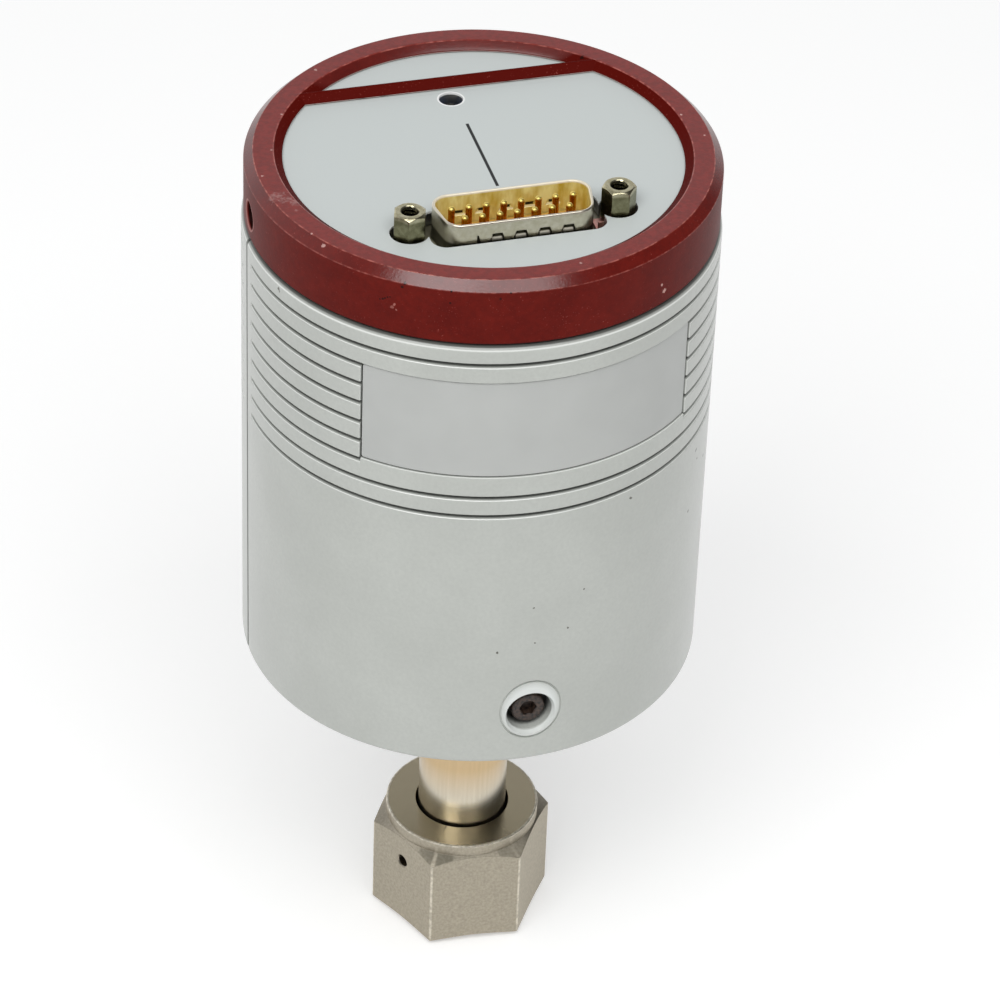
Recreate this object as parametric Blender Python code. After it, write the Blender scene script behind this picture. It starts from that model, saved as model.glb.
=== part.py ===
"""Heated capacitance diaphragm gauge with a 15-pin plug and a face-seal port.

The gauge stands on its port: the axis is +Z, z = 0 is the lower face of the coupling
nut, and the plug, the blank label and the front screw face -Y.
"""

import math

import bmesh
import bpy
from mathutils import Matrix, Vector

mm = 0.001

# Running and seating clearances
fit_gap = 0.3 * mm
seam_gap = 0.24 * mm
nut_running_gap = 0.45 * mm
lip_gap = 0.25 * mm
facet_deg = 9.0
inner_facet_deg = 12.0

# Coupling nut, hexagon and collar
nut_across_flats = 27.0 * mm
nut_height = 21.7 * mm
nut_collar_radius = 13.2 * mm
nut_collar_height = 2.1 * mm
nut_chamfer_drop = 1.5 * mm
nut_edge_bevel = 0.35 * mm
nut_thread_radius = 10.4 * mm
nut_thread_depth = 14.0 * mm
nut_relief_depth = 0.6 * mm
nut_mouth_chamfer = 0.7 * mm
nut_leak_hole_radius = 1.1 * mm
nut_leak_hole_height = 13.9 * mm
nut_corner_deg = -124.0

# Port tube and its sealing gland
tube_radius = 7.6 * mm
tube_wall = 1.65 * mm
tube_exposed = 40.0 * mm
gland_shoulder_height = 5.0 * mm
gland_length = 15.5 * mm
gland_bead_radius = 7.9 * mm
gland_bead_height = 0.45 * mm
gland_bead_half_width = 0.7 * mm
gland_bead_half_crest = 0.3 * mm
gland_chamfer = 0.45 * mm

# Half shells of the body
body_radius = 38.1 * mm
shell_height = 82.4 * mm
shell_wall = 3.0 * mm
shell_floor = 2.6 * mm
shell_edge_round = 1.0 * mm
shell_tube_gap = 1.0 * mm
tongue_wall = 1.6 * mm
tongue_height = 1.9 * mm
tongue_root = 1.9 * mm
groove_count = 9
groove_first_drop = 3.3 * mm
groove_pitch = 3.6 * mm
groove_width = 1.05 * mm
groove_floor_width = 0.4 * mm
groove_depth = 0.8 * mm
groove_seam_margin_deg = 3.2
groove_run_in_deg = 0.4

# Label and the recess that it lies in
label_recess_drop = 6.6 * mm
label_recess_height = 18.0 * mm
label_recess_half_deg = 44.1
label_recess_depth = 0.7 * mm
label_thickness = 0.25 * mm
label_bed_gap = 0.15 * mm
label_side_margin = 0.9 * mm
label_end_margin = 0.25 * mm

# Screws that hold the half shells
shell_screw_height = 9.7 * mm
shell_screw_radius = 1.5 * mm
shell_screw_length = 8.6 * mm
screw_head_radius = 2.8 * mm
screw_head_height = 3.0 * mm
screw_bevel = 0.28 * mm
screw_socket_radius = 1.45 * mm
screw_socket_depth = 1.6 * mm
screw_pocket_radius = 3.8 * mm
screw_pocket_depth = 4.8 * mm
screw_sink_radius = 4.8 * mm
screw_sink_depth = 0.9 * mm
screw_boss_radius = 5.4 * mm
screw_boss_reach = 7.8 * mm
screw_boss_wall_bite = 1.6 * mm

# Cap
cap_step = 0.4 * mm
cap_height = 11.05 * mm
cap_wall = 2.5 * mm
cap_chamfer = 1.5 * mm
cap_ring_width = 3.2 * mm
cap_bevel_width = 1.4 * mm
cap_bevel_depth = 1.1 * mm
cap_lip_edge = 0.25 * mm
cap_foot_round = 0.45 * mm
rib_window_depth = 9.5 * mm
rib_top_width = 0.5 * mm
rib_side_slope = 1.15 * mm
cap_screw_height = 4.1 * mm
cap_screw_hole_radius = 2.25 * mm
cap_screw_radius = 1.9 * mm
cap_screw_bevel = 0.28 * mm
cap_screw_recess = 1.5 * mm
cap_screw_length = 8.6 * mm
cap_screw_socket_radius = 1.0 * mm
cap_screw_socket_depth = 1.8 * mm

# Overlay and the top plate under it
overlay_thickness = 0.4 * mm
plate_thickness = 2.0 * mm
plate_lug_length = 9.4 * mm
plate_lug_width = 10.0 * mm
plate_lug_depth = 6.0 * mm
zero_hole_radius = 1.95 * mm
zero_hole_x = -0.6 * mm
zero_hole_to_rib = 4.15 * mm

# Fifteen-pin plug
plug_edge_distance = 13.6 * mm
plug_cutout_half_length = 14.0 * mm
plug_cutout_half_width = 5.2 * mm
plug_cutout_corner = 2.5 * mm
post_spacing = 33.32 * mm
post_lobe_radius = 3.1 * mm
plug_flange_end = 2.91 * mm
plug_flange_width = 12.55 * mm
plug_flange_thickness = 0.8 * mm
plug_flange_corner = 2.6 * mm
plug_flange_hole_radius = 1.75 * mm
plug_shell_depth = 5.9 * mm
plug_inner_half_length = 12.6 * mm
plug_inner_half_width = 4.15 * mm
plug_shell_wall = 0.5 * mm
plug_shell_corner = 2.4 * mm
plug_side_deg = 10.0
dimple_count = 5
dimple_pitch = 3.9 * mm
dimple_foot_width = 2.1 * mm
dimple_top_width = 1.3 * mm
dimple_rise = 2.1 * mm
dimple_height = 2.4 * mm
dimple_depth = 0.45 * mm
dimple_skin = 0.35 * mm
insulator_face_height = 0.6 * mm
insulator_half_length = 14.2 * mm
insulator_half_width = 5.0 * mm
insulator_corner = 0.9 * mm
pin_pitch = 2.77 * mm
pin_row_spacing = 2.84 * mm
pin_radius = 0.51 * mm
pin_hole_gap = 0.17 * mm
pin_tip_drop = 0.8 * mm
pin_tip_length = 0.45 * mm
pin_tip_radius = 0.23 * mm
pin_tail_length = 2.0 * mm
post_across_flats = 4.76 * mm
post_height_over_rim = 0.85 * mm
post_thread_radius = 1.15 * mm
post_thread_depth = 4.5 * mm
post_stud_radius = 1.4 * mm
post_stud_length = 5.5 * mm
post_chamfer = 0.35 * mm
post_crown_radius = 2.31 * mm
lug_thickness = 0.4 * mm
lug_ring_radius = 2.75 * mm
lug_tail_width = 0.9 * mm
lug_tail_x = 13.05 * mm
lug_tail_reach = 3.2 * mm
lug_tail_rise = 1.7 * mm
left_post_deg = 13.5
right_post_deg = -9.5

# Circuit boards and their standoffs
board_thickness = 1.6 * mm
board_edge_gap = 0.4 * mm
board_over_lid = 2.5 * mm
standoff_radius = 1.9 * mm
standoff_first_deg = 45.0
component_edge_distance = 14.0 * mm
chip_length = 10.0 * mm
chip_width = 6.4 * mm
chip_height = 2.2 * mm
capacitor_side = 6.6 * mm
capacitor_height = 3.2 * mm
trimmer_length = 9.5 * mm
trimmer_width = 4.8 * mm
trimmer_screw_inset = 2.3 * mm
trimmer_screw_radius = 1.1 * mm
trimmer_screw_length = 2.6 * mm
trimmer_pocket_depth = 1.7 * mm
trimmer_slot_width = 0.45 * mm
trimmer_slot_depth = 0.6 * mm
trimmer_slot_deg = 25.0

# Base plate and sensor stack
base_thickness = 3.0 * mm
base_lug_depth = 9.0 * mm
base_lug_width = 11.0 * mm
base_lug_height = 9.0 * mm
base_pad_height = 9.3 * mm
can_wall = 2.0 * mm
can_floor = 2.4 * mm
can_lid_thickness = 2.0 * mm
can_side_gap = 0.4 * mm
sensor_base_height = 10.5 * mm
sensor_rim = 3.0 * mm
sensor_cavity_depth = 2.5 * mm
sensor_port_radius = 3.0 * mm
diaphragm_thickness = 0.3 * mm
electrode_thickness = 4.0 * mm
cover_wall = 2.4 * mm
cover_step_height = 6.3 * mm
cover_shoulder = 6.5 * mm
cover_height = 13.6 * mm
cover_roof = 3.0 * mm
cover_bevel = 1.0 * mm
spring_height = 1.4 * mm
spring_thickness = 0.5 * mm
spring_width = 2.8 * mm
spring_waves = 4
spring_steps = 32
pinch_tube_radius = 2.4 * mm
pinch_tube_bore = 1.2 * mm
pinch_tube_height = 7.0 * mm
pinch_tube_edge = 5.5 * mm
pinch_length = 2.0 * mm
pinch_tip_radius = 1.1 * mm
pinch_tube_clearance = 1.0 * mm
feed_pin_radius = 0.6 * mm
feed_pin_offset = 5.0 * mm
feed_pin_edge = 9.5 * mm
feed_pin_stick_out = 1.2 * mm
band_thickness = 0.8 * mm
band_height = 22.0 * mm
band_slit_deg = 10.0
band_rise = 6.0 * mm
sleeve_thickness = 1.0 * mm
sleeve_height = 40.0 * mm

# Heights, from the nut up to the body
body_bottom = nut_height + tube_exposed
body_top = body_bottom + shell_height
cap_bottom = body_top + fit_gap
cap_top = cap_bottom + cap_height
groove_first_z = body_top - groove_first_drop
shell_screw_z = body_bottom + shell_screw_height
cap_screw_z = cap_bottom + cap_screw_height

# Radii, from the shell inwards
shell_inner = body_radius - shell_wall
cap_radius = body_radius - cap_step
cap_inner = cap_radius - cap_wall
ring_outer = cap_radius - cap_chamfer
ring_inner = ring_outer - cap_ring_width
window_radius = ring_inner - cap_bevel_width
tongue_outer = cap_inner - fit_gap
tongue_inner = tongue_outer - tongue_wall
plate_radius = cap_inner - fit_gap
overlay_radius = plate_radius - fit_gap
board_radius = tongue_inner - board_edge_gap
base_radius = shell_inner - board_edge_gap
base_flat = body_radius - screw_boss_reach - fit_gap
tube_hole_radius = tube_radius + fit_gap

# Places on the cap's two windows
rib_y = window_radius - rib_window_depth
zero_hole_y = rib_y - zero_hole_to_rib
plug_y = plug_edge_distance - window_radius

# Heights, from the cap down to the boards
lip_bottom = cap_top - cap_bevel_depth - cap_lip_edge
overlay_top = lip_bottom - lip_gap
plate_top = overlay_top - overlay_thickness
plate_bottom = plate_top - plate_thickness
main_board_top = plate_bottom - plate_lug_length
main_board_bottom = main_board_top - board_thickness
flange_top = plate_bottom - fit_gap
flange_bottom = flange_top - plug_flange_thickness
plug_rim = flange_top + plug_shell_depth
post_top = plug_rim + post_height_over_rim

# Heights, from the base plate up through the sensor
base_bottom = body_bottom + shell_floor + fit_gap
base_top = base_bottom + base_thickness
base_lug_top = base_top + base_lug_height
pad_bottom = base_top + fit_gap
pad_top = pad_bottom + base_pad_height
can_bottom = pad_top + fit_gap
can_inside = can_bottom + can_floor
sensor_bottom = can_inside + fit_gap
diaphragm_z = sensor_bottom + sensor_base_height
cover_bottom = diaphragm_z + diaphragm_thickness
electrode_bottom = cover_bottom + fit_gap
electrode_top = electrode_bottom + electrode_thickness
spring_bottom = electrode_top + fit_gap
cover_top = cover_bottom + cover_height
can_top = cover_top + pinch_tube_height + pinch_tube_clearance
lid_bottom = can_top + fit_gap
lid_top = lid_bottom + can_lid_thickness
lower_board_bottom = lid_top + board_over_lid
lower_board_top = lower_board_bottom + board_thickness

# Radii, from the boards inwards to the sensor
standoff_circle = board_radius - standoff_radius
component_circle = board_radius - component_edge_distance
sleeve_outer = standoff_circle - standoff_radius - fit_gap
sleeve_inner = sleeve_outer - sleeve_thickness
band_outer = sleeve_inner - fit_gap
band_inner = band_outer - band_thickness
can_outer = band_inner - fit_gap
can_inner = can_outer - can_wall
sensor_radius = can_inner - can_side_gap
sensor_cavity_radius = sensor_radius - sensor_rim
electrode_radius = sensor_radius - cover_wall - fit_gap
cover_step_radius = sensor_radius - cover_shoulder
pinch_tube_x = cover_step_radius - pinch_tube_edge
feed_pin_x = feed_pin_edge - cover_step_radius


def clear_scene():
    for old in list(bpy.data.objects):
        bpy.data.objects.remove(old, do_unlink=True)


def linear(channel):
    return channel / 12.92 if channel <= 0.04045 else ((channel + 0.055) / 1.055) ** 2.4


def make_material(name, hex_colour, metallic, roughness):
    material = bpy.data.materials.new(name)
    material.use_nodes = True
    shader = material.node_tree.nodes["Principled BSDF"]
    channels = [int(hex_colour[i : i + 2], 16) / 255 for i in (0, 2, 4)]
    shader.inputs["Base Color"].default_value = (*[linear(c) for c in channels], 1.0)
    shader.inputs["Metallic"].default_value = metallic
    shader.inputs["Roughness"].default_value = roughness
    return material


def add_object(name, bm, colour, parent=None, location=(0, 0, 0), rotation=(0, 0, 0), smooth=True):
    """Turns a bmesh into a named object with its own material, faces pointing out."""
    bmesh.ops.recalc_face_normals(bm, faces=bm.faces[:])
    mesh = bpy.data.meshes.new(name)
    bm.to_mesh(mesh)
    bm.free()
    if smooth:
        mesh.shade_smooth()
        mesh.set_sharp_from_angle(angle=math.radians(30))
    obj = bpy.data.objects.new(name, mesh)
    bpy.context.scene.collection.objects.link(obj)
    obj.location = location
    obj.rotation_euler = rotation
    obj.parent = parent
    if colour:
        mesh.materials.append(make_material(name, *colour))
    return obj


def helper(obj):
    """Marks an object as a cutter or a union operand that isn't a piece of the gauge."""
    obj.hide_render = True
    obj.display_type = "WIRE"
    return obj


def boolean(target, other, operation):
    modifier = target.modifiers.new(operation.title(), "BOOLEAN")
    modifier.operation = operation
    modifier.solver = "EXACT"
    modifier.object = other
    return modifier


def cut(target, cutter):
    return boolean(target, helper(cutter), "DIFFERENCE")


def join(target, other):
    return boolean(target, helper(other), "UNION")


def facet_angles(start_deg, end_deg, step_deg=facet_deg):
    """Angles from start to end that share one grid, so that neighbours have the same facets."""
    first = math.floor(start_deg / step_deg + 1e-6) + 1
    last = math.ceil(end_deg / step_deg - 1e-6) - 1
    inner = [k * step_deg for k in range(first, last + 1)]
    return [math.radians(a) for a in (start_deg, *inner, end_deg)]


def lathe(profile, start_deg=0.0, end_deg=360.0, step_deg=facet_deg):
    """Turns a closed (radius, z) profile round Z; a part turn gets flat end faces."""
    bm = bmesh.new()
    full = end_deg - start_deg >= 360.0
    angles = facet_angles(start_deg, end_deg, step_deg)
    if full:
        angles = angles[:-1]
    on_axis = {i: bm.verts.new((0, 0, z)) for i, (r, z) in enumerate(profile) if r < 1e-7}
    rings = []
    for angle in angles:
        c, s = math.cos(angle), math.sin(angle)
        ring = [on_axis.get(i) or bm.verts.new((r * c, r * s, z)) for i, (r, z) in enumerate(profile)]
        rings.append(ring)
    count = len(profile)
    pairs = list(zip(rings, rings[1:] + rings[:1])) if full else list(zip(rings, rings[1:]))
    for left, right in pairs:
        for i in range(count):
            j = (i + 1) % count
            corners = list(dict.fromkeys((left[i], left[j], right[j], right[i])))
            if len(corners) > 2:
                bm.faces.new(corners)
    if not full:
        bm.faces.new(rings[0])
        bm.faces.new(rings[-1][::-1])
    return bm


def extrude_outline(outline, bottom, top):
    """A prism from a closed outline of (x, y) points."""
    bm = bmesh.new()
    low = [bm.verts.new((x, y, bottom)) for x, y in outline]
    high = [bm.verts.new((x, y, top)) for x, y in outline]
    bm.faces.new(low[::-1])
    bm.faces.new(high)
    for i in range(len(outline)):
        j = (i + 1) % len(outline)
        bm.faces.new((low[i], low[j], high[j], high[i]))
    return bm


def disc(radius, bottom, top, step_deg=facet_deg):
    """A round plate or rod on the Z axis."""
    return extrude_outline(polygon(radius, round(360 / step_deg)), bottom, top)


def polygon(radius, sides, turn_deg=0.0, x=0.0, y=0.0):
    turn = math.radians(turn_deg)
    steps = [turn + 2 * math.pi * k / sides for k in range(sides)]
    return [(x + radius * math.cos(a), y + radius * math.sin(a)) for a in steps]


def rounded_outline(corners, radius, steps=4):
    """Rounds each corner of a convex outline given anticlockwise."""
    points = []
    for k, corner in enumerate(corners):
        here = Vector(corner)
        before = (Vector(corners[k - 1]) - here).normalized()
        after = (Vector(corners[(k + 1) % len(corners)]) - here).normalized()
        half = before.angle(after) / 2
        centre = here + (before + after).normalized() * radius / math.sin(half)
        first = here + before * radius / math.tan(half) - centre
        last = here + after * radius / math.tan(half) - centre
        turn = first.angle(last)
        for step in range(steps + 1):
            swing = Matrix.Rotation(turn * step / steps, 2)
            points.append(tuple(centre + swing @ first))
    return points


def box_outline(half_x, half_y, x=0.0, y=0.0):
    low_x, high_x = x - half_x, x + half_x
    low_y, high_y = y - half_y, y + half_y
    return [(low_x, low_y), (high_x, low_y), (high_x, high_y), (low_x, high_y)]


def box_profile(inner, outer, low, high):
    """The (radius, z) profile of a plain ring."""
    return [(inner, low), (outer, low), (outer, high), (inner, high)]


def merge(*meshes):
    """Several separate closed shapes in one bmesh, for a cutter that cuts them all."""
    whole = bmesh.new()
    for bm in meshes:
        piece = bpy.data.meshes.new("piece")
        bmesh.ops.recalc_face_normals(bm, faces=bm.faces[:])
        bm.to_mesh(piece)
        bm.free()
        whole.from_mesh(piece)
        bpy.data.meshes.remove(piece)
    return whole


def add_group(name, parent=None, location=(0, 0, 0)):
    group = bpy.data.objects.new(name, None)
    bpy.context.scene.collection.objects.link(group)
    group.location = location
    group.parent = parent
    return group


def edge_arc(radius, z, size, upper, steps=3):
    """Profile points of a rounded outer edge, from the side wall towards the axis."""
    sign = 1 if upper else -1
    points = []
    for k in range(steps + 1):
        a = math.pi / 2 * k / steps
        points.append((radius - size * (1 - math.cos(a)), z + sign * size * (math.sin(a) - 1)))
    return points


clear_scene()

light_grey = ("B9BCB8", 0.0, 0.55)
cap_red = ("7A2A24", 0.0, 0.5)
overlay_grey = ("C3C9C6", 0.0, 0.5)
label_grey = ("B4B5B3", 0.0, 0.45)
steel = ("A9A79F", 1.0, 0.3)
satin_steel = ("9C968A", 1.0, 0.38)
aluminium = ("C2C4C4", 1.0, 0.4)
nickel = ("B8B29A", 1.0, 0.3)
gold = ("D2A544", 1.0, 0.25)
yellow_plastic = ("C9A760", 0.0, 0.4)
copper = ("C98F7E", 1.0, 0.35)
board_green = ("2F5A3C", 0.0, 0.5)
black_oxide = ("2A2320", 0.6, 0.5)
foam_white = ("D9D4C6", 0.0, 0.9)
heater_orange = ("B4632F", 0.0, 0.7)
ceramic_white = ("E8E4DA", 0.0, 0.35)
trimmer_blue = ("2C4F8C", 0.0, 0.45)
brass = ("B98F3E", 1.0, 0.35)

gauge = add_group("gauge")
port = add_group("port", gauge)
housing = add_group("housing", gauge)
sensor = add_group("sensor", gauge)
electronics = add_group("electronics", gauge)
plug = add_group("plug", gauge, (0, plug_y, 0))


# Port: coupling nut, gland and tube

nut_corner_radius = nut_across_flats / 2 / math.cos(math.pi / 6)
nut_shoulder_z = nut_height - nut_collar_height
nut_bore_radius = tube_radius + nut_running_gap
nut = add_object(
    "coupling_nut",
    extrude_outline(polygon(nut_corner_radius, 6, nut_corner_deg), 0, nut_height + fit_gap),
    satin_steel,
    port,
    smooth=False,
)
nut_form = add_object(
    "nut_turned_form",
    lathe(
        [
            (0, -fit_gap),
            (nut_corner_radius + fit_gap, -fit_gap),
            (nut_corner_radius + fit_gap, nut_shoulder_z - nut_chamfer_drop),
            (nut_corner_radius, nut_shoulder_z - nut_chamfer_drop),
            (nut_collar_radius, nut_shoulder_z),
            (nut_collar_radius, nut_height - nut_edge_bevel),
            (nut_collar_radius - nut_edge_bevel, nut_height),
            (0, nut_height),
        ],
        step_deg=inner_facet_deg,
    ),
    None,
    port,
)
boolean(nut, helper(nut_form), "INTERSECT")
nut_bore = add_object(
    "nut_bore",
    lathe(
        [
            (0, -fit_gap),
            (nut_thread_radius + nut_mouth_chamfer + fit_gap, -fit_gap),
            (nut_thread_radius, nut_mouth_chamfer),
            (nut_thread_radius, nut_thread_depth),
            (nut_bore_radius + nut_relief_depth, nut_thread_depth + nut_relief_depth),
            (nut_bore_radius, nut_thread_depth + nut_relief_depth),
            (nut_bore_radius, nut_height + fit_gap),
            (0, nut_height + fit_gap),
        ],
        step_deg=inner_facet_deg,
    ),
    None,
    port,
)
cut(nut, nut_bore)
leak_drill = add_object(
    "nut_leak_drill",
    extrude_outline(polygon(nut_leak_hole_radius, 12), -nut_across_flats, nut_across_flats),
    None,
    port,
    (0, 0, nut_leak_hole_height),
    (0, math.pi / 2, math.radians(nut_corner_deg - 30)),
)
cut(nut, leak_drill)

gland_radius = nut_thread_radius - fit_gap
tube_bore = tube_radius - tube_wall
gland_face = gland_bead_height
gland_shoulder = gland_shoulder_height
add_object(
    "sealing_gland",
    lathe(
        [
            (tube_bore, gland_face),
            (gland_bead_radius - gland_bead_half_width, gland_face),
            (gland_bead_radius - gland_bead_half_crest, 0),
            (gland_bead_radius + gland_bead_half_crest, 0),
            (gland_bead_radius + gland_bead_half_width, gland_face),
            (gland_radius - gland_chamfer, gland_face),
            (gland_radius, gland_face + gland_chamfer),
            (gland_radius, gland_shoulder - gland_chamfer),
            (gland_radius - gland_chamfer, gland_shoulder),
            (tube_radius, gland_shoulder + nut_relief_depth),
            (tube_radius, gland_length),
            (tube_bore, gland_length),
        ],
        step_deg=inner_facet_deg,
    ),
    steel,
    port,
)
add_object(
    "inlet_tube",
    lathe(box_profile(tube_bore, tube_radius, 0, sensor_bottom - gland_length), step_deg=inner_facet_deg),
    steel,
    port,
    (0, 0, gland_length),
)


# Housing: two half shells, their screws, and the blank label

seam_half_deg = math.degrees(seam_gap / 2 / body_radius)
tube_opening = tube_radius + shell_tube_gap
shell_profile = [
    (tube_opening, body_bottom),
    *edge_arc(body_radius, body_bottom, shell_edge_round, False)[::-1],
    *edge_arc(body_radius, body_top, shell_edge_round, True),
    (tongue_outer, body_top),
    (tongue_outer, body_top + tongue_height),
    (tongue_inner, body_top + tongue_height),
    (tongue_inner, body_top - tongue_root),
    (shell_inner, body_top - tongue_root - (shell_inner - tongue_inner)),
    (shell_inner, body_bottom + shell_floor),
    (tube_opening, body_bottom + shell_floor),
]

recess_top = body_top - label_recess_drop
recess_bottom = recess_top - label_recess_height
recess_floor = body_radius - label_recess_depth
recess_left_deg = -90 - label_recess_half_deg
recess_right_deg = -90 + label_recess_half_deg
pocket_floor = body_radius - screw_pocket_depth
boss_face = body_radius - screw_boss_reach


def groove(z, start_deg, end_deg):
    """The cutter of one groove, with sloping walls and square ends."""
    spare = fit_gap
    floor = groove_floor_width / 2
    mouth = floor + (groove_width / 2 - floor) * (groove_depth + spare) / groove_depth
    bottom = body_radius - groove_depth
    top = body_radius + spare
    profile = [(bottom, z - floor), (top, z - mouth), (top, z + mouth), (bottom, z + floor)]
    return lathe(profile, start_deg, end_deg)


def grooves(beside_label):
    first = -180 + groove_seam_margin_deg
    last = -groove_seam_margin_deg
    cutters = []
    for k in range(groove_count):
        z = groove_first_z - k * groove_pitch
        meets_label = beside_label and recess_bottom - groove_width < z < recess_top + groove_width / 2
        if meets_label:
            cutters.append(groove(z, first, recess_left_deg + groove_run_in_deg))
            cutters.append(groove(z, recess_right_deg - groove_run_in_deg, last))
        else:
            cutters.append(groove(z, first, last))
    return merge(*cutters)


def half_shell(name, turn_deg, has_label):
    turn = (0, 0, math.radians(turn_deg))
    across = (math.pi / 2, 0, math.radians(turn_deg))
    at_screw = (0, 0, shell_screw_z)
    half = lathe(shell_profile, -180 + seam_half_deg, -seam_half_deg)
    shell = add_object(name, half, light_grey, housing, rotation=turn)
    boss_end = shell_inner + screw_boss_wall_bite
    boss = extrude_outline(polygon(screw_boss_radius, 24), boss_face, boss_end)
    join(shell, add_object(name + "_boss", boss, None, housing, at_screw, across))
    cut(shell, add_object(name + "_grooves", grooves(has_label), None, housing, rotation=turn))
    if has_label:
        spare = body_radius + fit_gap
        recess_form = box_profile(recess_floor, spare, recess_bottom, recess_top)
        recess = lathe(recess_form, recess_left_deg, recess_right_deg)
        cut(shell, add_object(name + "_recess", recess, None, housing, rotation=turn))
    sink_slope = (screw_sink_radius - screw_pocket_radius) / screw_sink_depth
    pocket = lathe(
        [
            (0, boss_face - fit_gap),
            (shell_screw_radius + fit_gap, boss_face - fit_gap),
            (shell_screw_radius + fit_gap, pocket_floor),
            (screw_pocket_radius, pocket_floor),
            (screw_pocket_radius, body_radius - screw_sink_depth),
            (screw_sink_radius + sink_slope * fit_gap, body_radius + fit_gap),
            (0, body_radius + fit_gap),
        ],
        step_deg=15,
    )
    cut(shell, add_object(name + "_pocket", pocket, None, housing, at_screw, across))
    return shell


def socket_screw(name, parent, location, rotation, colour):
    """A cap screw with its head seat at the origin and its head towards +Z."""
    form = lathe(
        [
            (0, -shell_screw_length),
            (shell_screw_radius - screw_bevel, -shell_screw_length),
            (shell_screw_radius, -shell_screw_length + screw_bevel),
            (shell_screw_radius, 0),
            (screw_head_radius, 0),
            (screw_head_radius, screw_head_height - screw_bevel),
            (screw_head_radius - screw_bevel, screw_head_height),
            (0, screw_head_height),
        ],
        step_deg=18,
    )
    screw = add_object(name, form, colour, parent, location, rotation)
    socket_floor = screw_head_height - screw_socket_depth
    socket = extrude_outline(polygon(screw_socket_radius, 6), socket_floor, screw_head_height + fit_gap)
    cut(screw, add_object(name + "_socket", socket, None, parent, location, rotation))
    return screw


half_shell("front_shell", 0, True)
half_shell("rear_shell", 180, False)
screw_seat = pocket_floor + fit_gap
for side, y, turn in (("front", -screw_seat, 0), ("rear", screw_seat, math.pi)):
    socket_screw(side + "_shell_screw", housing, (0, y, shell_screw_z), (math.pi / 2, 0, turn), black_oxide)

label_inner = recess_floor + label_bed_gap
label_outer = label_inner + label_thickness
label_half_deg = label_recess_half_deg - math.degrees(label_side_margin / body_radius)
label_bottom = recess_bottom + label_end_margin
label_top = recess_top - label_end_margin
add_object(
    "front_label",
    lathe(
        box_profile(label_inner, label_outer, label_bottom, label_top),
        -90 - label_half_deg,
        -90 + label_half_deg,
    ),
    label_grey,
    housing,
)


# Cap with its two windows, the rib between them and its two grub screws

cap_profile = [
    (cap_inner, cap_bottom),
    *edge_arc(cap_radius, cap_bottom, cap_foot_round, False, 2)[::-1],
    (cap_radius, cap_top - cap_chamfer),
    (ring_outer, cap_top),
    (ring_inner, cap_top),
    (window_radius, cap_top - cap_bevel_depth),
    (window_radius, lip_bottom),
    (cap_inner, lip_bottom),
]
cap = add_object("cap", lathe(cap_profile), cap_red, housing)
rib_half = math.sqrt(((ring_inner + ring_outer) / 2) ** 2 - rib_y**2)
rib_near = rib_top_width / 2
rib_far = rib_near + rib_side_slope
rib_foot = cap_top - cap_bevel_depth
rib = extrude_outline(
    [
        (-rib_near, cap_top),
        (-rib_far, rib_foot),
        (-rib_far, lip_bottom),
        (rib_far, lip_bottom),
        (rib_far, rib_foot),
        (rib_near, cap_top),
    ],
    -rib_half,
    rib_half,
)
rib.transform(Matrix(((0, 0, 1, 0), (1, 0, 0, 0), (0, 1, 0, 0), (0, 0, 0, 1))))
join(cap, add_object("cap_rib", rib, None, housing, (0, rib_y, 0)))
cap_drill = extrude_outline(polygon(cap_screw_hole_radius, 20), -cap_radius - fit_gap, cap_radius + fit_gap)
cut(cap, add_object("cap_drill", cap_drill, None, housing, (0, 0, cap_screw_z), (0, math.pi / 2, 0)))

grub_end = cap_radius - cap_screw_recess
for side, sign in (("left", -1), ("right", 1)):
    form = lathe(
        [
            (0, -cap_screw_length),
            (cap_screw_radius - cap_screw_bevel, -cap_screw_length),
            (cap_screw_radius, -cap_screw_length + cap_screw_bevel),
            (cap_screw_radius, -cap_screw_bevel),
            (cap_screw_radius - cap_screw_bevel, 0),
            (0, 0),
        ],
        step_deg=18,
    )
    spot = (sign * grub_end, 0, cap_screw_z)
    turn = (0, sign * math.pi / 2, 0)
    grub = add_object("cap_screw_" + side, form, black_oxide, housing, spot, turn)
    socket = extrude_outline(polygon(cap_screw_socket_radius, 6), -cap_screw_socket_depth, fit_gap)
    cut(grub, add_object("cap_screw_socket_" + side, socket, None, housing, spot, turn))


# Overlay and top plate, with one opening for the plug and one over the zero trimmer

opening_bottom = plate_bottom - fit_gap
opening_top = overlay_top + fit_gap
opening = add_object(
    "plug_opening",
    extrude_outline(
        rounded_outline(box_outline(plug_cutout_half_length, plug_cutout_half_width), plug_cutout_corner),
        opening_bottom,
        opening_top,
    ),
    None,
    plug,
)
for side, sign in (("left", -1), ("right", 1)):
    lobe_outline = polygon(post_lobe_radius, 24, 0, sign * post_spacing / 2)
    lobe = extrude_outline(lobe_outline, opening_bottom - fit_gap, opening_top + fit_gap)
    join(opening, add_object("post_opening_" + side, lobe, None, plug))
zero_hole = add_object(
    "zero_hole",
    extrude_outline(polygon(zero_hole_radius, 24), opening_bottom, opening_top),
    None,
    electronics,
    (zero_hole_x, zero_hole_y, 0),
)
overlay = add_object("top_overlay", disc(overlay_radius, plate_top, overlay_top), overlay_grey, electronics)
cut(overlay, opening)
cut(overlay, zero_hole)

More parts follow.
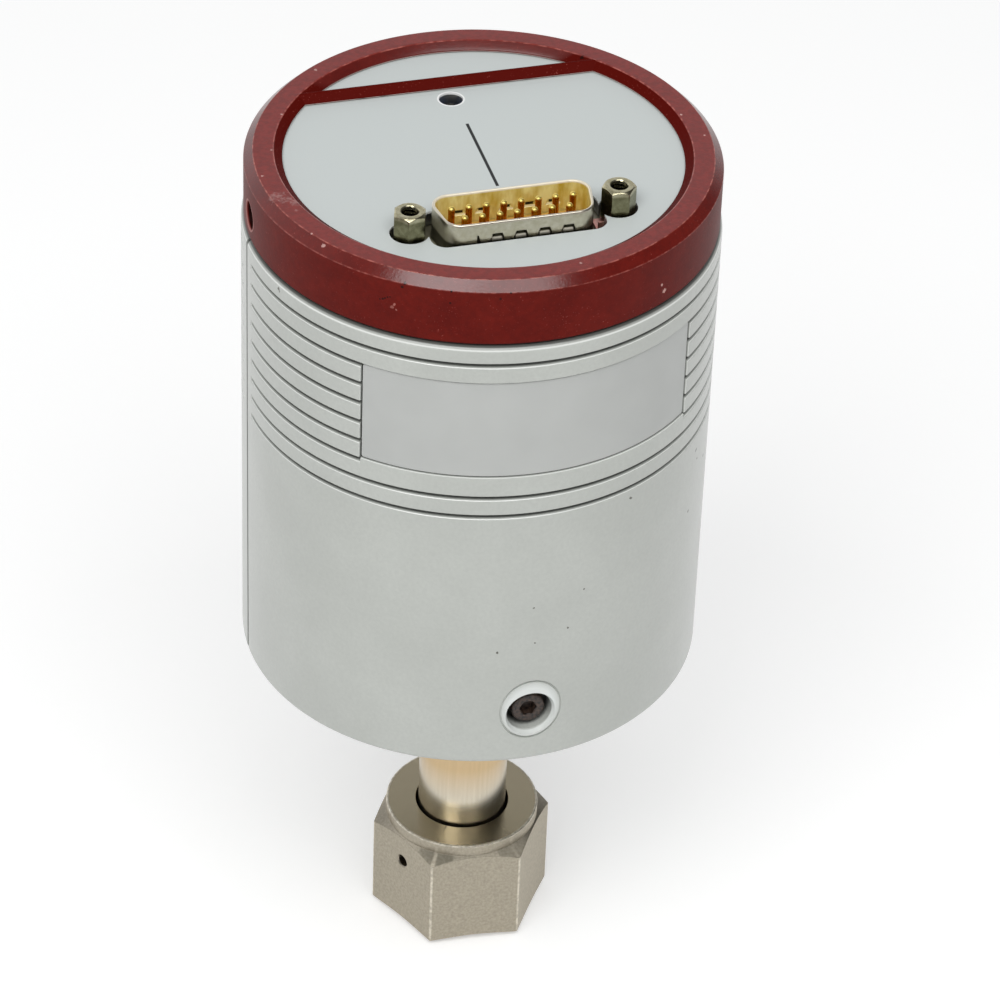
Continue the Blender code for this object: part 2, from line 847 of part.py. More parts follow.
plate = add_object("top_plate", disc(plate_radius, plate_bottom, plate_top), aluminium, electronics)
lug_outer = tongue_inner - 2 * board_edge_gap
lug_middle = lug_outer - plate_lug_depth / 2
lugs = []
for sign in (-1, 1):
    lug_outline = box_outline(plate_lug_depth / 2, plate_lug_width / 2, sign * lug_middle)
    lugs.append(extrude_outline(lug_outline, main_board_top, plate_bottom + fit_gap))
join(plate, add_object("plate_lugs", merge(*lugs), None, electronics))
cut(plate, opening)
cut(plate, zero_hole)
lug_drill = extrude_outline(polygon(cap_screw_radius + fit_gap, 20), -plate_radius, plate_radius)
cut(plate, add_object("lug_drill", lug_drill, None, electronics, (0, 0, cap_screw_z), (0, math.pi / 2, 0)))


# Plug: drawn shell, insulator, contacts, screw posts and ground lug

side_tan = math.tan(math.radians(plug_side_deg))
side_cos = math.cos(math.radians(plug_side_deg))


def plug_outline(grow, steps=4):
    """The plug's D outline, wide side at the back, grown outwards by a wall or a gap."""
    half_width = plug_inner_half_width + grow
    back = plug_inner_half_length + grow * (side_tan + 1 / side_cos)
    front = back - 2 * half_width * side_tan
    corners = [(-front, -half_width), (front, -half_width), (back, half_width), (-back, half_width)]
    return rounded_outline(corners, plug_shell_corner + grow, steps)


def wall_block(x, y_from, y_to, low, high, low_width, top_width):
    """A block set in a long wall, narrower at the top."""
    bm = bmesh.new()
    levels = []
    for z, width in ((low, low_width), (high, top_width)):
        outline = box_outline(width / 2, abs(y_to - y_from) / 2, x, (y_from + y_to) / 2)
        levels.append([bm.verts.new((px, py, z)) for px, py in outline])
    bm.faces.new(levels[0][::-1])
    bm.faces.new(levels[1])
    for i in range(4):
        j = (i + 1) % 4
        bm.faces.new((levels[0][i], levels[0][j], levels[1][j], levels[1][i]))
    return bm


flange_box = box_outline(post_spacing / 2 + plug_flange_end, plug_flange_width / 2)
flange = extrude_outline(rounded_outline(flange_box, plug_flange_corner), flange_bottom, flange_top)
plug_shell = add_object("connector_shell", flange, nickel, plug)
flange_middle = (flange_bottom + flange_top) / 2
shroud = extrude_outline(plug_outline(plug_shell_wall), flange_middle, plug_rim)
join(plug_shell, add_object("shell_shroud", shroud, None, plug))
shell_inside = extrude_outline(plug_outline(0), flange_bottom - fit_gap, plug_rim + fit_gap)
cut(plug_shell, add_object("shell_inside", shell_inside, None, plug))
dents = []
pockets = []
dimple_low = flange_top + dimple_rise
dimple_high = dimple_low + dimple_height
dent_low = dimple_low - dimple_skin
dent_high = dimple_high + dimple_skin
dent_foot = dimple_foot_width + 2 * dimple_skin
dent_top = dimple_top_width + 2 * dimple_skin
wall_out = plug_inner_half_width + plug_shell_wall
for sign in (-1, 1):
    dent_in = sign * (plug_inner_half_width - dimple_depth)
    wall_middle = sign * (plug_inner_half_width + plug_shell_wall / 2)
    pocket_in = sign * (wall_out - dimple_depth)
    pocket_out = sign * (wall_out + fit_gap)
    for k in range(dimple_count):
        x = (k - (dimple_count - 1) / 2) * dimple_pitch
        dents.append(wall_block(x, dent_in, wall_middle, dent_low, dent_high, dent_foot, dent_top))
        widths = (dimple_foot_width, dimple_top_width)
        pockets.append(wall_block(x, pocket_in, pocket_out, dimple_low, dimple_high, *widths))
join(plug_shell, add_object("shell_dents", merge(*dents), None, plug))
cut(plug_shell, add_object("shell_pockets", merge(*pockets), None, plug))
flange_holes = []
for sign in (-1, 1):
    hole_outline = polygon(plug_flange_hole_radius, 16, 0, sign * post_spacing / 2)
    flange_holes.append(extrude_outline(hole_outline, flange_bottom - fit_gap, flange_top + fit_gap))
cut(plug_shell, add_object("flange_holes", merge(*flange_holes), None, plug))

pin_spots = [((k - 3.5) * pin_pitch, pin_row_spacing / 2) for k in range(8)]
pin_spots += [((k - 3) * pin_pitch, -pin_row_spacing / 2) for k in range(7)]
pin_bottom = main_board_bottom - pin_tail_length
pin_top = plug_rim - pin_tip_drop
insulator_bottom = main_board_top + fit_gap
insulator_top = flange_top + insulator_face_height
pin_holes = []
for x, y in pin_spots:
    hole_outline = polygon(pin_radius + pin_hole_gap, 8, 0, x, y)
    pin_holes.append(extrude_outline(hole_outline, pin_bottom, pin_top))
pin_drill = add_object("pin_drill", merge(*pin_holes), None, plug)
insulator_box = box_outline(insulator_half_length, insulator_half_width)
insulator_outline = rounded_outline(insulator_box, insulator_corner, 2)
insulator_block = extrude_outline(insulator_outline, insulator_bottom, flange_bottom - fit_gap)
insulator = add_object("connector_insulator", insulator_block, yellow_plastic, plug)
insulator_middle = (insulator_bottom + flange_bottom) / 2
insulator_face = extrude_outline(plug_outline(-fit_gap), insulator_middle, insulator_top)
join(insulator, add_object("insulator_face", insulator_face, None, plug))
cut(insulator, pin_drill)
pin_length = pin_top - pin_bottom
for number, (x, y) in enumerate(pin_spots, 1):
    form = lathe(
        [
            (0, 0),
            (pin_radius, 0),
            (pin_radius, pin_length - pin_tip_length),
            (pin_tip_radius, pin_length),
            (0, pin_length),
        ],
        step_deg=45,
    )
    add_object(f"contact_pin_{number:02d}", form, gold, plug, (x, y, pin_bottom))


def screw_post(name, x, low, turn_deg):
    """A hexagonal jack post with a threaded hole in its top and a stud below."""
    corner = post_across_flats / 2 / math.cos(math.pi / 6)
    place = (x, 0, 0)
    hexagon = extrude_outline(polygon(corner, 6, turn_deg), low, post_top + fit_gap)
    post = add_object(name, hexagon, nickel, plug, place, smooth=False)
    form = lathe(
        [
            (0, low - fit_gap),
            (corner + fit_gap, low - fit_gap),
            (corner + fit_gap, post_top - post_chamfer),
            (corner, post_top - post_chamfer),
            (post_crown_radius, post_top),
            (0, post_top),
        ],
        step_deg=15,
    )
    boolean(post, helper(add_object(name + "_turned_form", form, None, plug, place)), "INTERSECT")
    stud = extrude_outline(polygon(post_stud_radius, 16), flange_top - post_stud_length, low + fit_gap)
    join(post, add_object(name + "_stud", stud, None, plug, place))
    thread_floor = post_top - post_thread_depth
    hole = extrude_outline(polygon(post_thread_radius, 16), thread_floor, post_top + fit_gap)
    cut(post, add_object(name + "_hole", hole, None, plug, place))
    return post


post_seat = flange_top + fit_gap
lug_top = post_seat + lug_thickness
screw_post("jackpost_left", -post_spacing / 2, post_seat, left_post_deg)
screw_post("jackpost_right", post_spacing / 2, lug_top + fit_gap, right_post_deg)

lug_ring = extrude_outline(polygon(lug_ring_radius, 24, 0, post_spacing / 2), post_seat, lug_top)
ground_lug = add_object("ground_lug", lug_ring, copper, plug)
tail_low = lug_tail_x - lug_tail_width / 2
tail_middle = (tail_low + post_spacing / 2) / 2
tail_across = box_outline(tail_middle - tail_low, lug_tail_width / 2, tail_middle)
tail_along = box_outline(lug_tail_width / 2, lug_tail_reach / 2, lug_tail_x, -lug_tail_reach / 2)
tail_end_y = lug_thickness / 2 - lug_tail_reach
tail_end = box_outline(lug_tail_width / 2, lug_thickness / 2, lug_tail_x, tail_end_y)
tail_tops = (lug_top, lug_top, lug_top + lug_tail_rise)
for number, (outline, high) in enumerate(zip((tail_across, tail_along, tail_end), tail_tops), 1):
    tail = extrude_outline(outline, post_seat, high)
    join(ground_lug, add_object(f"lug_tail_{number}", tail, None, plug))
hole_outline = polygon(plug_flange_hole_radius, 16, 0, post_spacing / 2)
lug_hole = extrude_outline(hole_outline, post_seat - fit_gap, lug_top + fit_gap)
cut(ground_lug, add_object("lug_hole", lug_hole, None, plug))


# Boards, standoffs and the zero trimmer

feed_spots = [(feed_pin_x, feed_pin_offset), (feed_pin_x, -feed_pin_offset)]
feed_hole_radius = feed_pin_radius + fit_gap
feed_holes = []
for x, y in feed_spots:
    hole_outline = polygon(feed_hole_radius, 12, 0, x, y)
    feed_holes.append(extrude_outline(hole_outline, electrode_top, main_board_bottom))
feed_drill = add_object("feed_drill", merge(*feed_holes), None, sensor)


def board(name, low, high, chip_degs, capacitor_degs):
    """A round circuit board with its larger components standing on it."""
    circuit = add_object(name, disc(board_radius, low, high), board_green, electronics)
    parts = []
    chip = (chip_length / 2, chip_width / 2, chip_height)
    capacitor = (capacitor_side / 2, capacitor_side / 2, capacitor_height)
    for degs, (half_x, half_y, height) in ((chip_degs, chip), (capacitor_degs, capacitor)):
        for deg in degs:
            x = component_circle * math.cos(math.radians(deg))
            y = component_circle * math.sin(math.radians(deg))
            outline = box_outline(half_x, half_y, x, y)
            parts.append(extrude_outline(outline, high - fit_gap, high + height))
    join(circuit, add_object(name + "_components", merge(*parts), None, electronics))
    return circuit


main_board = board("main_board", main_board_bottom, main_board_top, [20], [160])
cut(main_board, pin_drill)
sensor_board = board("sensor_board", lower_board_bottom, lower_board_top, [0], [120, 240])
cut(sensor_board, feed_drill)
for number in range(1, 5):
    angle = math.radians(standoff_first_deg + 90 * (number - 1))
    spot = (standoff_circle * math.cos(angle), standoff_circle * math.sin(angle), 0)
    hexagon = polygon(standoff_radius, 6)
    lower = extrude_outline(hexagon, base_top, lower_board_bottom)
    upper = extrude_outline(hexagon, lower_board_top, main_board_bottom)
    add_object(f"lower_standoff_{number}", lower, brass, electronics, spot, smooth=False)
    add_object(f"upper_standoff_{number}", upper, brass, electronics, spot, smooth=False)

trimmer_top = plate_bottom - fit_gap
trimmer_pocket_floor = trimmer_top - trimmer_pocket_depth
trimmer_middle = trimmer_length / 2 - trimmer_screw_inset
trimmer_outline = box_outline(trimmer_length / 2, trimmer_width / 2, trimmer_middle)
trimmer_form = extrude_outline(trimmer_outline, main_board_top, trimmer_top)
trimmer_place = (zero_hole_x, zero_hole_y, 0)
trimmer = add_object("zero_trimmer_body", trimmer_form, trimmer_blue, electronics, trimmer_place)
pocket_outline = polygon(trimmer_screw_radius + fit_gap, 16)
trimmer_pocket = extrude_outline(pocket_outline, trimmer_pocket_floor, trimmer_top + fit_gap)
cut(trimmer, add_object("trimmer_pocket", trimmer_pocket, None, electronics, trimmer_place))
trimmer_spot = (zero_hole_x, zero_hole_y, trimmer_pocket_floor + fit_gap)
trimmer_screw = add_object(
    "zero_trimmer_screw",
    extrude_outline(polygon(trimmer_screw_radius, 16), 0, trimmer_screw_length),
    brass,
    electronics,
    trimmer_spot,
)
slot = extrude_outline(
    box_outline(trimmer_screw_radius + fit_gap, trimmer_slot_width / 2),
    trimmer_screw_length - trimmer_slot_depth,
    trimmer_screw_length + fit_gap,
)
slot_turn = (0, 0, math.radians(trimmer_slot_deg))
cut(trimmer_screw, add_object("trimmer_slot", slot, None, electronics, trimmer_spot, slot_turn))


# Base plate with its two screw lugs, and the pad under the sensor can

base = add_object("base_plate", disc(base_radius, base_bottom, base_top), aluminium, sensor)
flat_spare = base_radius + fit_gap
flats = []
base_lugs = []
screw_end = screw_seat - shell_screw_length
for sign in (-1, 1):
    flat_middle = sign * (base_flat + flat_spare) / 2
    flat_half = (flat_spare - base_flat) / 2
    flat_outline = box_outline(base_radius, flat_half, 0, flat_middle)
    flats.append(extrude_outline(flat_outline, base_bottom - fit_gap, base_top + fit_gap))
    lug_y = sign * (base_flat - base_lug_depth / 2)
    lug_outline = box_outline(base_lug_width / 2, base_lug_depth / 2, 0, lug_y)
    base_lugs.append(extrude_outline(lug_outline, base_top - fit_gap, base_lug_top))
cut(base, add_object("base_flats", merge(*flats), None, sensor))
join(base, add_object("base_lugs", merge(*base_lugs), None, sensor))
tube_drill = disc(tube_hole_radius, base_bottom - fit_gap, base_top + fit_gap, inner_facet_deg)
cut(base, add_object("base_tube_hole", tube_drill, None, sensor))
for side, turn in (("front", 0), ("rear", math.pi)):
    drill_outline = polygon(shell_screw_radius + fit_gap, 16)
    drill = extrude_outline(drill_outline, screw_end - fit_gap, base_flat + fit_gap)
    spot = (0, 0, shell_screw_z)
    cut(base, add_object("base_screw_hole_" + side, drill, None, sensor, spot, (math.pi / 2, 0, turn)))

pad_radius = base_flat - base_lug_depth - fit_gap
add_object(
    "insulation_pad",
    lathe(box_profile(tube_hole_radius, pad_radius, pad_bottom, pad_top), step_deg=inner_facet_deg),
    foam_white,
    sensor,
)


# Heated can round the sensor

add_object(
    "heater_can",
    lathe(
        [
            (tube_hole_radius, can_bottom),
            (can_outer, can_bottom),
            (can_outer, can_top),
            (can_inner, can_top),
            (can_inner, can_inside),
            (tube_hole_radius, can_inside),
        ],
        step_deg=inner_facet_deg,
    ),
    aluminium,
    sensor,
)
lid = add_object("heater_lid", disc(can_outer, lid_bottom, lid_top, inner_facet_deg), aluminium, sensor)
cut(lid, feed_drill)
band_bottom = can_bottom + band_rise
band_top = band_bottom + band_height
add_object(
    "heater_band",
    lathe(
        box_profile(band_inner, band_outer, band_bottom, band_top),
        band_slit_deg / 2,
        360 - band_slit_deg / 2,
        inner_facet_deg,
    ),
    heater_orange,
    sensor,
)
sleeve_bottom = base_lug_top + fit_gap
sleeve_top = sleeve_bottom + sleeve_height
add_object(
    "insulation_sleeve",
    lathe(box_profile(sleeve_inner, sleeve_outer, sleeve_bottom, sleeve_top), step_deg=inner_facet_deg),
    foam_white,
    sensor,
)


# Sensor: base, diaphragm, electrode, spring, cover and sealed reference tube

cavity_floor = diaphragm_z - sensor_cavity_depth
add_object(
    "sensor_base",
    lathe(
        [
            (sensor_port_radius, sensor_bottom),
            (sensor_radius, sensor_bottom),
            (sensor_radius, diaphragm_z),
            (sensor_cavity_radius, diaphragm_z),
            (sensor_cavity_radius, cavity_floor),
            (sensor_port_radius, cavity_floor),
        ],
        step_deg=inner_facet_deg,
    ),
    steel,
    sensor,
)
diaphragm = disc(sensor_radius, diaphragm_z, cover_bottom, inner_facet_deg)
add_object("sensor_diaphragm", diaphragm, steel, sensor)
electrode = disc(electrode_radius, electrode_bottom, electrode_top, inner_facet_deg)
add_object("electrode_disc", electrode, ceramic_white, sensor)

spring_outer = electrode_radius - fit_gap
spring_inner = spring_outer - spring_width
spring_ring = bmesh.new()
spring_sections = []
for k in range(spring_steps):
    angle = 2 * math.pi * k / spring_steps
    lift = (spring_height - spring_thickness) * (1 - math.cos(spring_waves * angle)) / 2
    section = []
    for r, z in box_profile(spring_inner, spring_outer, 0, spring_thickness):
        section.append(spring_ring.verts.new((r * math.cos(angle), r * math.sin(angle), z + lift)))
    spring_sections.append(section)
for k, section in enumerate(spring_sections):
    after = spring_sections[(k + 1) % len(spring_sections)]
    for i in range(4):
        j = (i + 1) % 4
        spring_ring.faces.new((section[i], section[j], after[j], after[i]))
add_object("electrode_spring", spring_ring, steel, sensor, (0, 0, spring_bottom))

cover_inner = sensor_radius - cover_wall
cover_step_z = cover_bottom + cover_step_height
roof_z = cover_top - cover_roof
cover = add_object(
    "sensor_cover",
    lathe(
        [
            (cover_inner, cover_bottom),
            (sensor_radius, cover_bottom),
            (sensor_radius, cover_top - cover_bevel),
            (sensor_radius - cover_bevel, cover_top),
            (0, cover_top),
            (0, roof_z),
            (cover_step_radius, roof_z),
            (cover_step_radius, cover_step_z),
            (cover_inner, cover_step_z),
        ],
        step_deg=inner_facet_deg,
    ),
    steel,
    sensor,
)
cut(cover, feed_drill)
pinch_drill = extrude_outline(polygon(pinch_tube_bore, 16), roof_z - fit_gap, cover_top + fit_gap)
cut(cover, add_object("pinch_drill", pinch_drill, None, sensor, (pinch_tube_x, 0, 0)))
add_object(
    "reference_tube",
    lathe(
        [
            (pinch_tube_bore, 0),
            (pinch_tube_radius, 0),
            (pinch_tube_radius, pinch_tube_height - pinch_length),
            (pinch_tip_radius, pinch_tube_height),
            (0, pinch_tube_height),
            (0, pinch_tube_height - 2 * pinch_length),
            (pinch_tube_bore, pinch_tube_height - 2 * pinch_length),
        ],
        step_deg=24,
    ),
    copper,
    sensor,
    (pinch_tube_x, 0, cover_top),
)
for number, (x, y) in enumerate(feed_spots, 1):
    pin_outline = polygon(feed_pin_radius, 12, 0, x, y)
    pin = extrude_outline(pin_outline, electrode_top + fit_gap, lower_board_top + feed_pin_stick_out)
    add_object(f"feedthrough_pin_{number}", pin, gold, sensor)
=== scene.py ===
import math

import bmesh
import bpy
from mathutils import Matrix, Vector
from mathutils.geometry import tessellate_polygon


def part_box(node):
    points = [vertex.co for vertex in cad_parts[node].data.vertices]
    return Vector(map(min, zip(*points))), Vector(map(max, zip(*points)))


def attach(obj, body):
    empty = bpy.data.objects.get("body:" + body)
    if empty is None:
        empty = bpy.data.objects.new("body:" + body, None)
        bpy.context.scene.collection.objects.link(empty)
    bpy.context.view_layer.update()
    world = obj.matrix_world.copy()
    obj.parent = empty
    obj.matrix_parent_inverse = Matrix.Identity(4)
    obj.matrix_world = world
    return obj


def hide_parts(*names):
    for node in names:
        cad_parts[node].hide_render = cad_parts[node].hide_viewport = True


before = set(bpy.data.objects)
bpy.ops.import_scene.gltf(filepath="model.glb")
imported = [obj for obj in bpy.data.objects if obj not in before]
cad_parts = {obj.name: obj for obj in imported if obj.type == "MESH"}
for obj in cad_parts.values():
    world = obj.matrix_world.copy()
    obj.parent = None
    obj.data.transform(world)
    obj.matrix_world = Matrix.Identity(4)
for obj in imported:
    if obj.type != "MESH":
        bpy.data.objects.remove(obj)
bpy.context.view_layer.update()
scene = bpy.context.scene
mm = 0.001
for spare in ("Cube", "Light", "Camera"):
    if spare in bpy.data.objects:
        bpy.data.objects.remove(bpy.data.objects[spare])
print("frame loaded")


# sizes are in millimetres until a mesh is made

def interpolate(table, value):
    # straight lines through (place, amount) pairs
    if value <= table[0][0]:
        return table[0][1]
    for (a, low), (b, high) in zip(table, table[1:]):
        if value <= b:
            return low + (high - low) * (value - a) / (b - a)
    return table[-1][1]


def newSkin():
    return {"points": [], "faces": []}


def addLoop(skin, loop):
    first = len(skin["points"])
    skin["points"] += [tuple(point) for point in loop]
    return list(range(first, first + len(loop)))


def bridge(skin, low, high):
    for i in range(len(low)):
        j = (i + 1) % len(low)
        skin["faces"].append((low[i], low[j], high[j], high[i]))


def bridgeRun(skin, loops):
    for low, high in zip(loops, loops[1:]):
        bridge(skin, low, high)


def flatLoop(skin, outline, z):
    return addLoop(skin, [(x, y, z) for x, y in outline])


def fillFlat(skin, *loops):
    # one flat face; every loop after the first is a hole
    flat = [[Vector(skin["points"][i]) for i in loop] for loop in loops]
    order = [i for loop in loops for i in loop]
    for corners in tessellate_polygon(flat):
        skin["faces"].append(tuple(order[i] for i in corners))


def makePiece(name, skin):
    mesh = bpy.data.meshes.new(name)
    mesh.from_pydata([Vector(point) * mm for point in skin["points"]], [], skin["faces"])
    bm = bmesh.new()
    bm.from_mesh(mesh)
    bmesh.ops.remove_doubles(bm, verts=bm.verts, dist=1e-7)
    bmesh.ops.recalc_face_normals(bm, faces=bm.faces)
    bm.to_mesh(mesh)
    bm.free()
    piece = bpy.data.objects.new(name, mesh)
    scene.collection.objects.link(piece)
    return piece


def around(angle, radius, z):
    return (radius * math.cos(angle), radius * math.sin(angle), z)


def rounded(corners, steps=4):
    # closed outline of (a, b, radius) corners, each turned into an arc of its radius
    outline = []
    for i, (a, b, radius) in enumerate(corners):
        if not radius:
            outline.append((a, b))
            continue
        here = Vector((a, b))
        before = (Vector(corners[i - 1][:2]) - here).normalized()
        after = (Vector(corners[(i + 1) % len(corners)][:2]) - here).normalized()
        half = before.angle(after) / 2
        centre = here + (before + after).normalized() * radius / math.sin(half)
        start = here + before * radius / math.tan(half) - centre
        end = here + after * radius / math.tan(half) - centre
        turn = start.angle_signed(end)
        for step in range(steps + 1):
            outline.append(tuple(centre + Matrix.Rotation(-turn * step / steps, 2) @ start))
    return outline


def sweepColumns(name, columns):
    # closed profiles side by side, all the way round
    skin = newSkin()
    loops = [addLoop(skin, column) for column in columns]
    for low, high in zip(loops, loops[1:] + loops[:1]):
        bridge(skin, low, high)
    return makePiece(name, skin)


def turned(name, outline, steps=96):
    angles = [2 * math.pi * step / steps for step in range(steps)]
    return sweepColumns(name, [[around(angle, r, z) for r, z in outline] for angle in angles])


def prism(name, outline, low, high):
    skin = newSkin()
    bottom, top = flatLoop(skin, outline, low), flatLoop(skin, outline, high)
    fillFlat(skin, bottom)
    fillFlat(skin, top)
    bridge(skin, bottom, top)
    return makePiece(name, skin)


def polygonPoints(radius, count, firstDeg=0.0, x=0.0, y=0.0):
    angles = [math.radians(firstDeg) + 2 * math.pi * k / count for k in range(count)]
    return [(x + radius * math.cos(a), y + radius * math.sin(a)) for a in angles]


def place(piece, matrix):
    shift = matrix.copy()
    shift.translation = matrix.translation * mm
    piece.data.transform(shift)
    if matrix.determinant() < 0:
        piece.data.flip_normals()
    return piece


def settle(piece):
    # bakes the modifiers into the mesh
    graph = bpy.context.evaluated_depsgraph_get()
    shaped = bpy.data.meshes.new_from_object(piece.evaluated_get(graph))
    piece.modifiers.clear()
    piece.data = shaped
    return piece


def carve(piece, tool, operation="DIFFERENCE"):
    step = piece.modifiers.new("carve", "BOOLEAN")
    step.operation = operation
    step.solver = "EXACT"
    step.object = tool
    settle(piece)
    bpy.data.objects.remove(tool)
    return piece


def softenEdges(piece, width, segments=2, angleDeg=40):
    step = piece.modifiers.new("soften", "BEVEL")
    step.width = width * mm
    step.segments = segments
    step.limit_method = "ANGLE"
    step.angle_limit = math.radians(angleDeg)
    return settle(piece)


def finishPiece(piece, material, nodes, body="gauge", sharpDeg=32):
    mesh = piece.data
    mesh.materials.clear()
    mesh.materials.append(material)
    mesh.shade_smooth()
    mesh.set_sharp_from_angle(angle=math.radians(sharpDeg))
    weigh = piece.modifiers.new("weigh", "WEIGHTED_NORMAL")
    weigh.keep_sharp = True
    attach(piece, body)
    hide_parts(*nodes)
    return piece


def linearColour(hexText):
    channels = [int(hexText[i:i + 2], 16) / 255 for i in (0, 2, 4)]
    return tuple(c / 12.92 if c <= 0.04045 else ((c + 0.055) / 1.055) ** 2.4 for c in channels) + (1.0,)


current = {}  # the node tree that new nodes go into


def startTree(owner):
    owner.use_nodes = True
    current["tree"] = owner.node_tree
    return owner.node_tree.nodes


def addNode(kind, sockets=None, **settings):
    tree = current["tree"]
    node = tree.nodes.new("ShaderNode" + kind)
    for name, value in settings.items():
        setattr(node, name, value)
    for name, value in (sockets or {}).items():
        if isinstance(value, bpy.types.NodeSocket):
            tree.links.new(value, node.inputs[name])
        else:
            node.inputs[name].default_value = value
    return node


def startMaterial(name, hexText, metallic, roughness, **more):
    material = bpy.data.materials.new(name)
    shader = startTree(material)["Principled BSDF"]
    shader.inputs["Base Color"].default_value = linearColour(hexText)
    shader.inputs["Metallic"].default_value = metallic
    shader.inputs["Roughness"].default_value = roughness
    for socket, value in more.items():
        shader.inputs[socket.replace("_", " ")].default_value = value
    spot = addNode("TexCoord").outputs["Object"]
    return material, shader, spot


def grain(spot, size, detail=2.0, stretch=None):
    # noise with features about this many millimetres across
    if stretch:
        spot = addNode("Mapping", {"Vector": spot, "Scale": stretch}).outputs[0]
    return addNode("TexNoise", {"Vector": spot, "Scale": 1 / (size * mm), "Detail": detail}).outputs["Fac"]


def tones(spot, *facts):
    # soft patches of the same noise, from 0 to 1
    return remap(grain(spot, *facts), 0.35, 0.65, 0.0, 1.0)


def remap(value, fromLow, fromHigh, toLow, toHigh):
    sockets = {"Value": value, "From Min": fromLow, "From Max": fromHigh, "To Min": toLow, "To Max": toHigh}
    return addNode("MapRange", sockets).outputs[0]


def ramp(length, fromLow, fromHigh, toLow=0.0, toHigh=1.0):
    # the same for a length, with its limits in millimetres
    return remap(length, fromLow * mm, fromHigh * mm, toLow, toHigh)


def fade(length, fromLow, fromHigh):
    # from 1 down to 0
    return ramp(length, fromLow, fromHigh, 1.0, 0.0)


def inverse(share):
    return remap(share, 0.0, 1.0, 1.0, 0.0)


def calculate(operation, *values):
    return addNode("Math", dict(enumerate(values)), operation=operation).outputs[0]


def measure(operation, *vectors):
    return addNode("VectorMath", dict(enumerate(vectors)), operation=operation).outputs["Value"]


def combine(*parts):
    return addNode("CombineXYZ", dict(enumerate(parts))).outputs[0]


def mixColour(factor, low, high):
    low = linearColour(low) if isinstance(low, str) else low
    high = linearColour(high) if isinstance(high, str) else high
    return addNode("Mix", {0: factor, 6: low, 7: high}, data_type="RGBA").outputs[2]


def link(value, socket):
    current["tree"].links.new(value, socket)


def addBump(shader, height, reach):
    bump = addNode("Bump", {"Height": height, "Distance": reach * mm, "Strength": 1.0})
    link(bump.outputs[0], shader.inputs["Normal"])


def runRound(shader):
    # tool marks run round the upright axis
    link(addNode("Tangent", direction_type="RADIAL", axis="Z").outputs[0], shader.inputs["Tangent"])


def splitAxes(spot):
    # the point's x, y and z, and its distance from the gauge's upright axis
    axes = addNode("SeparateXYZ", {0: spot}).outputs
    return axes["X"], axes["Y"], axes["Z"], measure("LENGTH", combine(axes["X"], axes["Y"]))


def both(*shares):
    whole = shares[0]
    for share in shares[1:]:
        whole = calculate("MULTIPLY", whole, share)
    return whole


def either(*shares):
    whole = shares[0]
    for share in shares[1:]:
        whole = calculate("MAXIMUM", whole, share)
    return whole


def marks(spot, places, raggedMm=0.5, ragged=0.5):
    # 1 in each worn spot, given as x, y, z and radius in millimetres, with a ragged edge
    wobble = remap(grain(spot, raggedMm, 3.0), 0.3, 0.7, 1 - ragged, 1 + ragged)
    spots = []
    for x, y, z, radius in places:
        away = measure("DISTANCE", spot, (x * mm, y * mm, z * mm))
        spots.append(fade(both(away, wobble), radius * 0.75, radius * 1.1))
    return either(*spots)


shellDirt = [
    (-35.92, -12.71, 142.83, 0.35), (30.52, -22.8, 108.29, 0.3), (28.7, -24.81, 110.9, 0.22),
    (33.37, -18.39, 103.64, 0.3), (31.05, -22.08, 106.08, 0.2), (16.02, -34.56, 109.73, 0.25),
    (29.38, -24.26, 97.26, 0.25), (8.19, -37.21, 94.89, 0.22), (5.72, -37.67, 87.77, 0.2),
    (-0.25, -38.1, 93.24, 0.18), (0.19, -38.1, 86.04, 0.18), (-5.93, -37.64, 84.75, 0.2),
]


def greyPlastic():
    # moulded light grey plastic: satin, finely textured, with a few dirt spots; painted shade in the grooves,
    # under the cap's edge, along the seam and in the screw pocket; painted highlights on the groove lips and
    # on a ring round the screw pocket
    material, shader, spot = startMaterial(
        "greyPlastic", "BFC2BC", 0.0, 0.36, Coat_Weight=0.45, Coat_Roughness=0.2)
    x, y, z, reach = splitAxes(spot)
    tone = tones(spot, 14.0)
    colour = mixColour(tone, "BCBFB9", "C2C5BF")
    fine = remap(grain(spot, 0.6, 3.0), 0.3, 0.7, 0.0, 0.25)
    colour = mixColour(fine, colour, "A8ABA6")
    # painted shade deep in the grooves and in a band just under the cap's edge
    deep = ramp(reach, 37.6, 37.95, 0.86, 0.0)
    inGrooves = ramp(z, 108.5, 109.0)
    nearSeam = ramp(calculate("ABSOLUTE", y), 0.36, 0.46, 0.75, 0.0)
    underCap = ramp(z, 143.78, 143.92, 0.0, 0.85)
    paintedShade = either(both(deep, inGrooves), underCap)
    colour = mixColour(paintedShade, colour, "3A3C38")
    # painted highlight along the lower lips of the grooves and the seam's rounded edges
    lip = both(inGrooves, ramp(reach, 37.93, 37.97, 0.0, 0.8), fade(reach, 38.03, 38.07))
    colour = mixColour(lip, colour, "EEF0EC")
    # painted shade along the seam between the halves
    colour = mixColour(nearSeam, colour, "4A4C48")
    # painted highlight: a bright ring round the screw pocket, brightest near the pocket's edge
    padHeight, padStretch = 72.3, 1.14
    pad = addNode("Mapping", {"Vector": combine(x, 0.0, z), "Location": (0, 0, -padHeight * mm / padStretch),
                              "Scale": (1, 1, 1 / padStretch)}).outputs[0]
    padReach = measure("LENGTH", pad)
    paintedBright = both(ramp(padReach, 3.85, 4.95, 0.85, 0.25), ramp(reach, 37.3, 37.5),
                  fade(padReach, 4.95, 5.1))
    colour = mixColour(paintedBright, colour, "E9EDEA")
    # painted shade inside the screw pocket
    sunk = both(fade(padReach, 4.6, 4.8), ramp(reach, 34.2, 36.2, 0.95, 0.0))
    colour = mixColour(sunk, colour, "2E2D2A")
    colour = mixColour(marks(spot, shellDirt), colour, "5C5B52")
    link(colour, shader.inputs["Base Color"])
    addBump(shader, grain(spot, 0.5), 0.02)
    return material


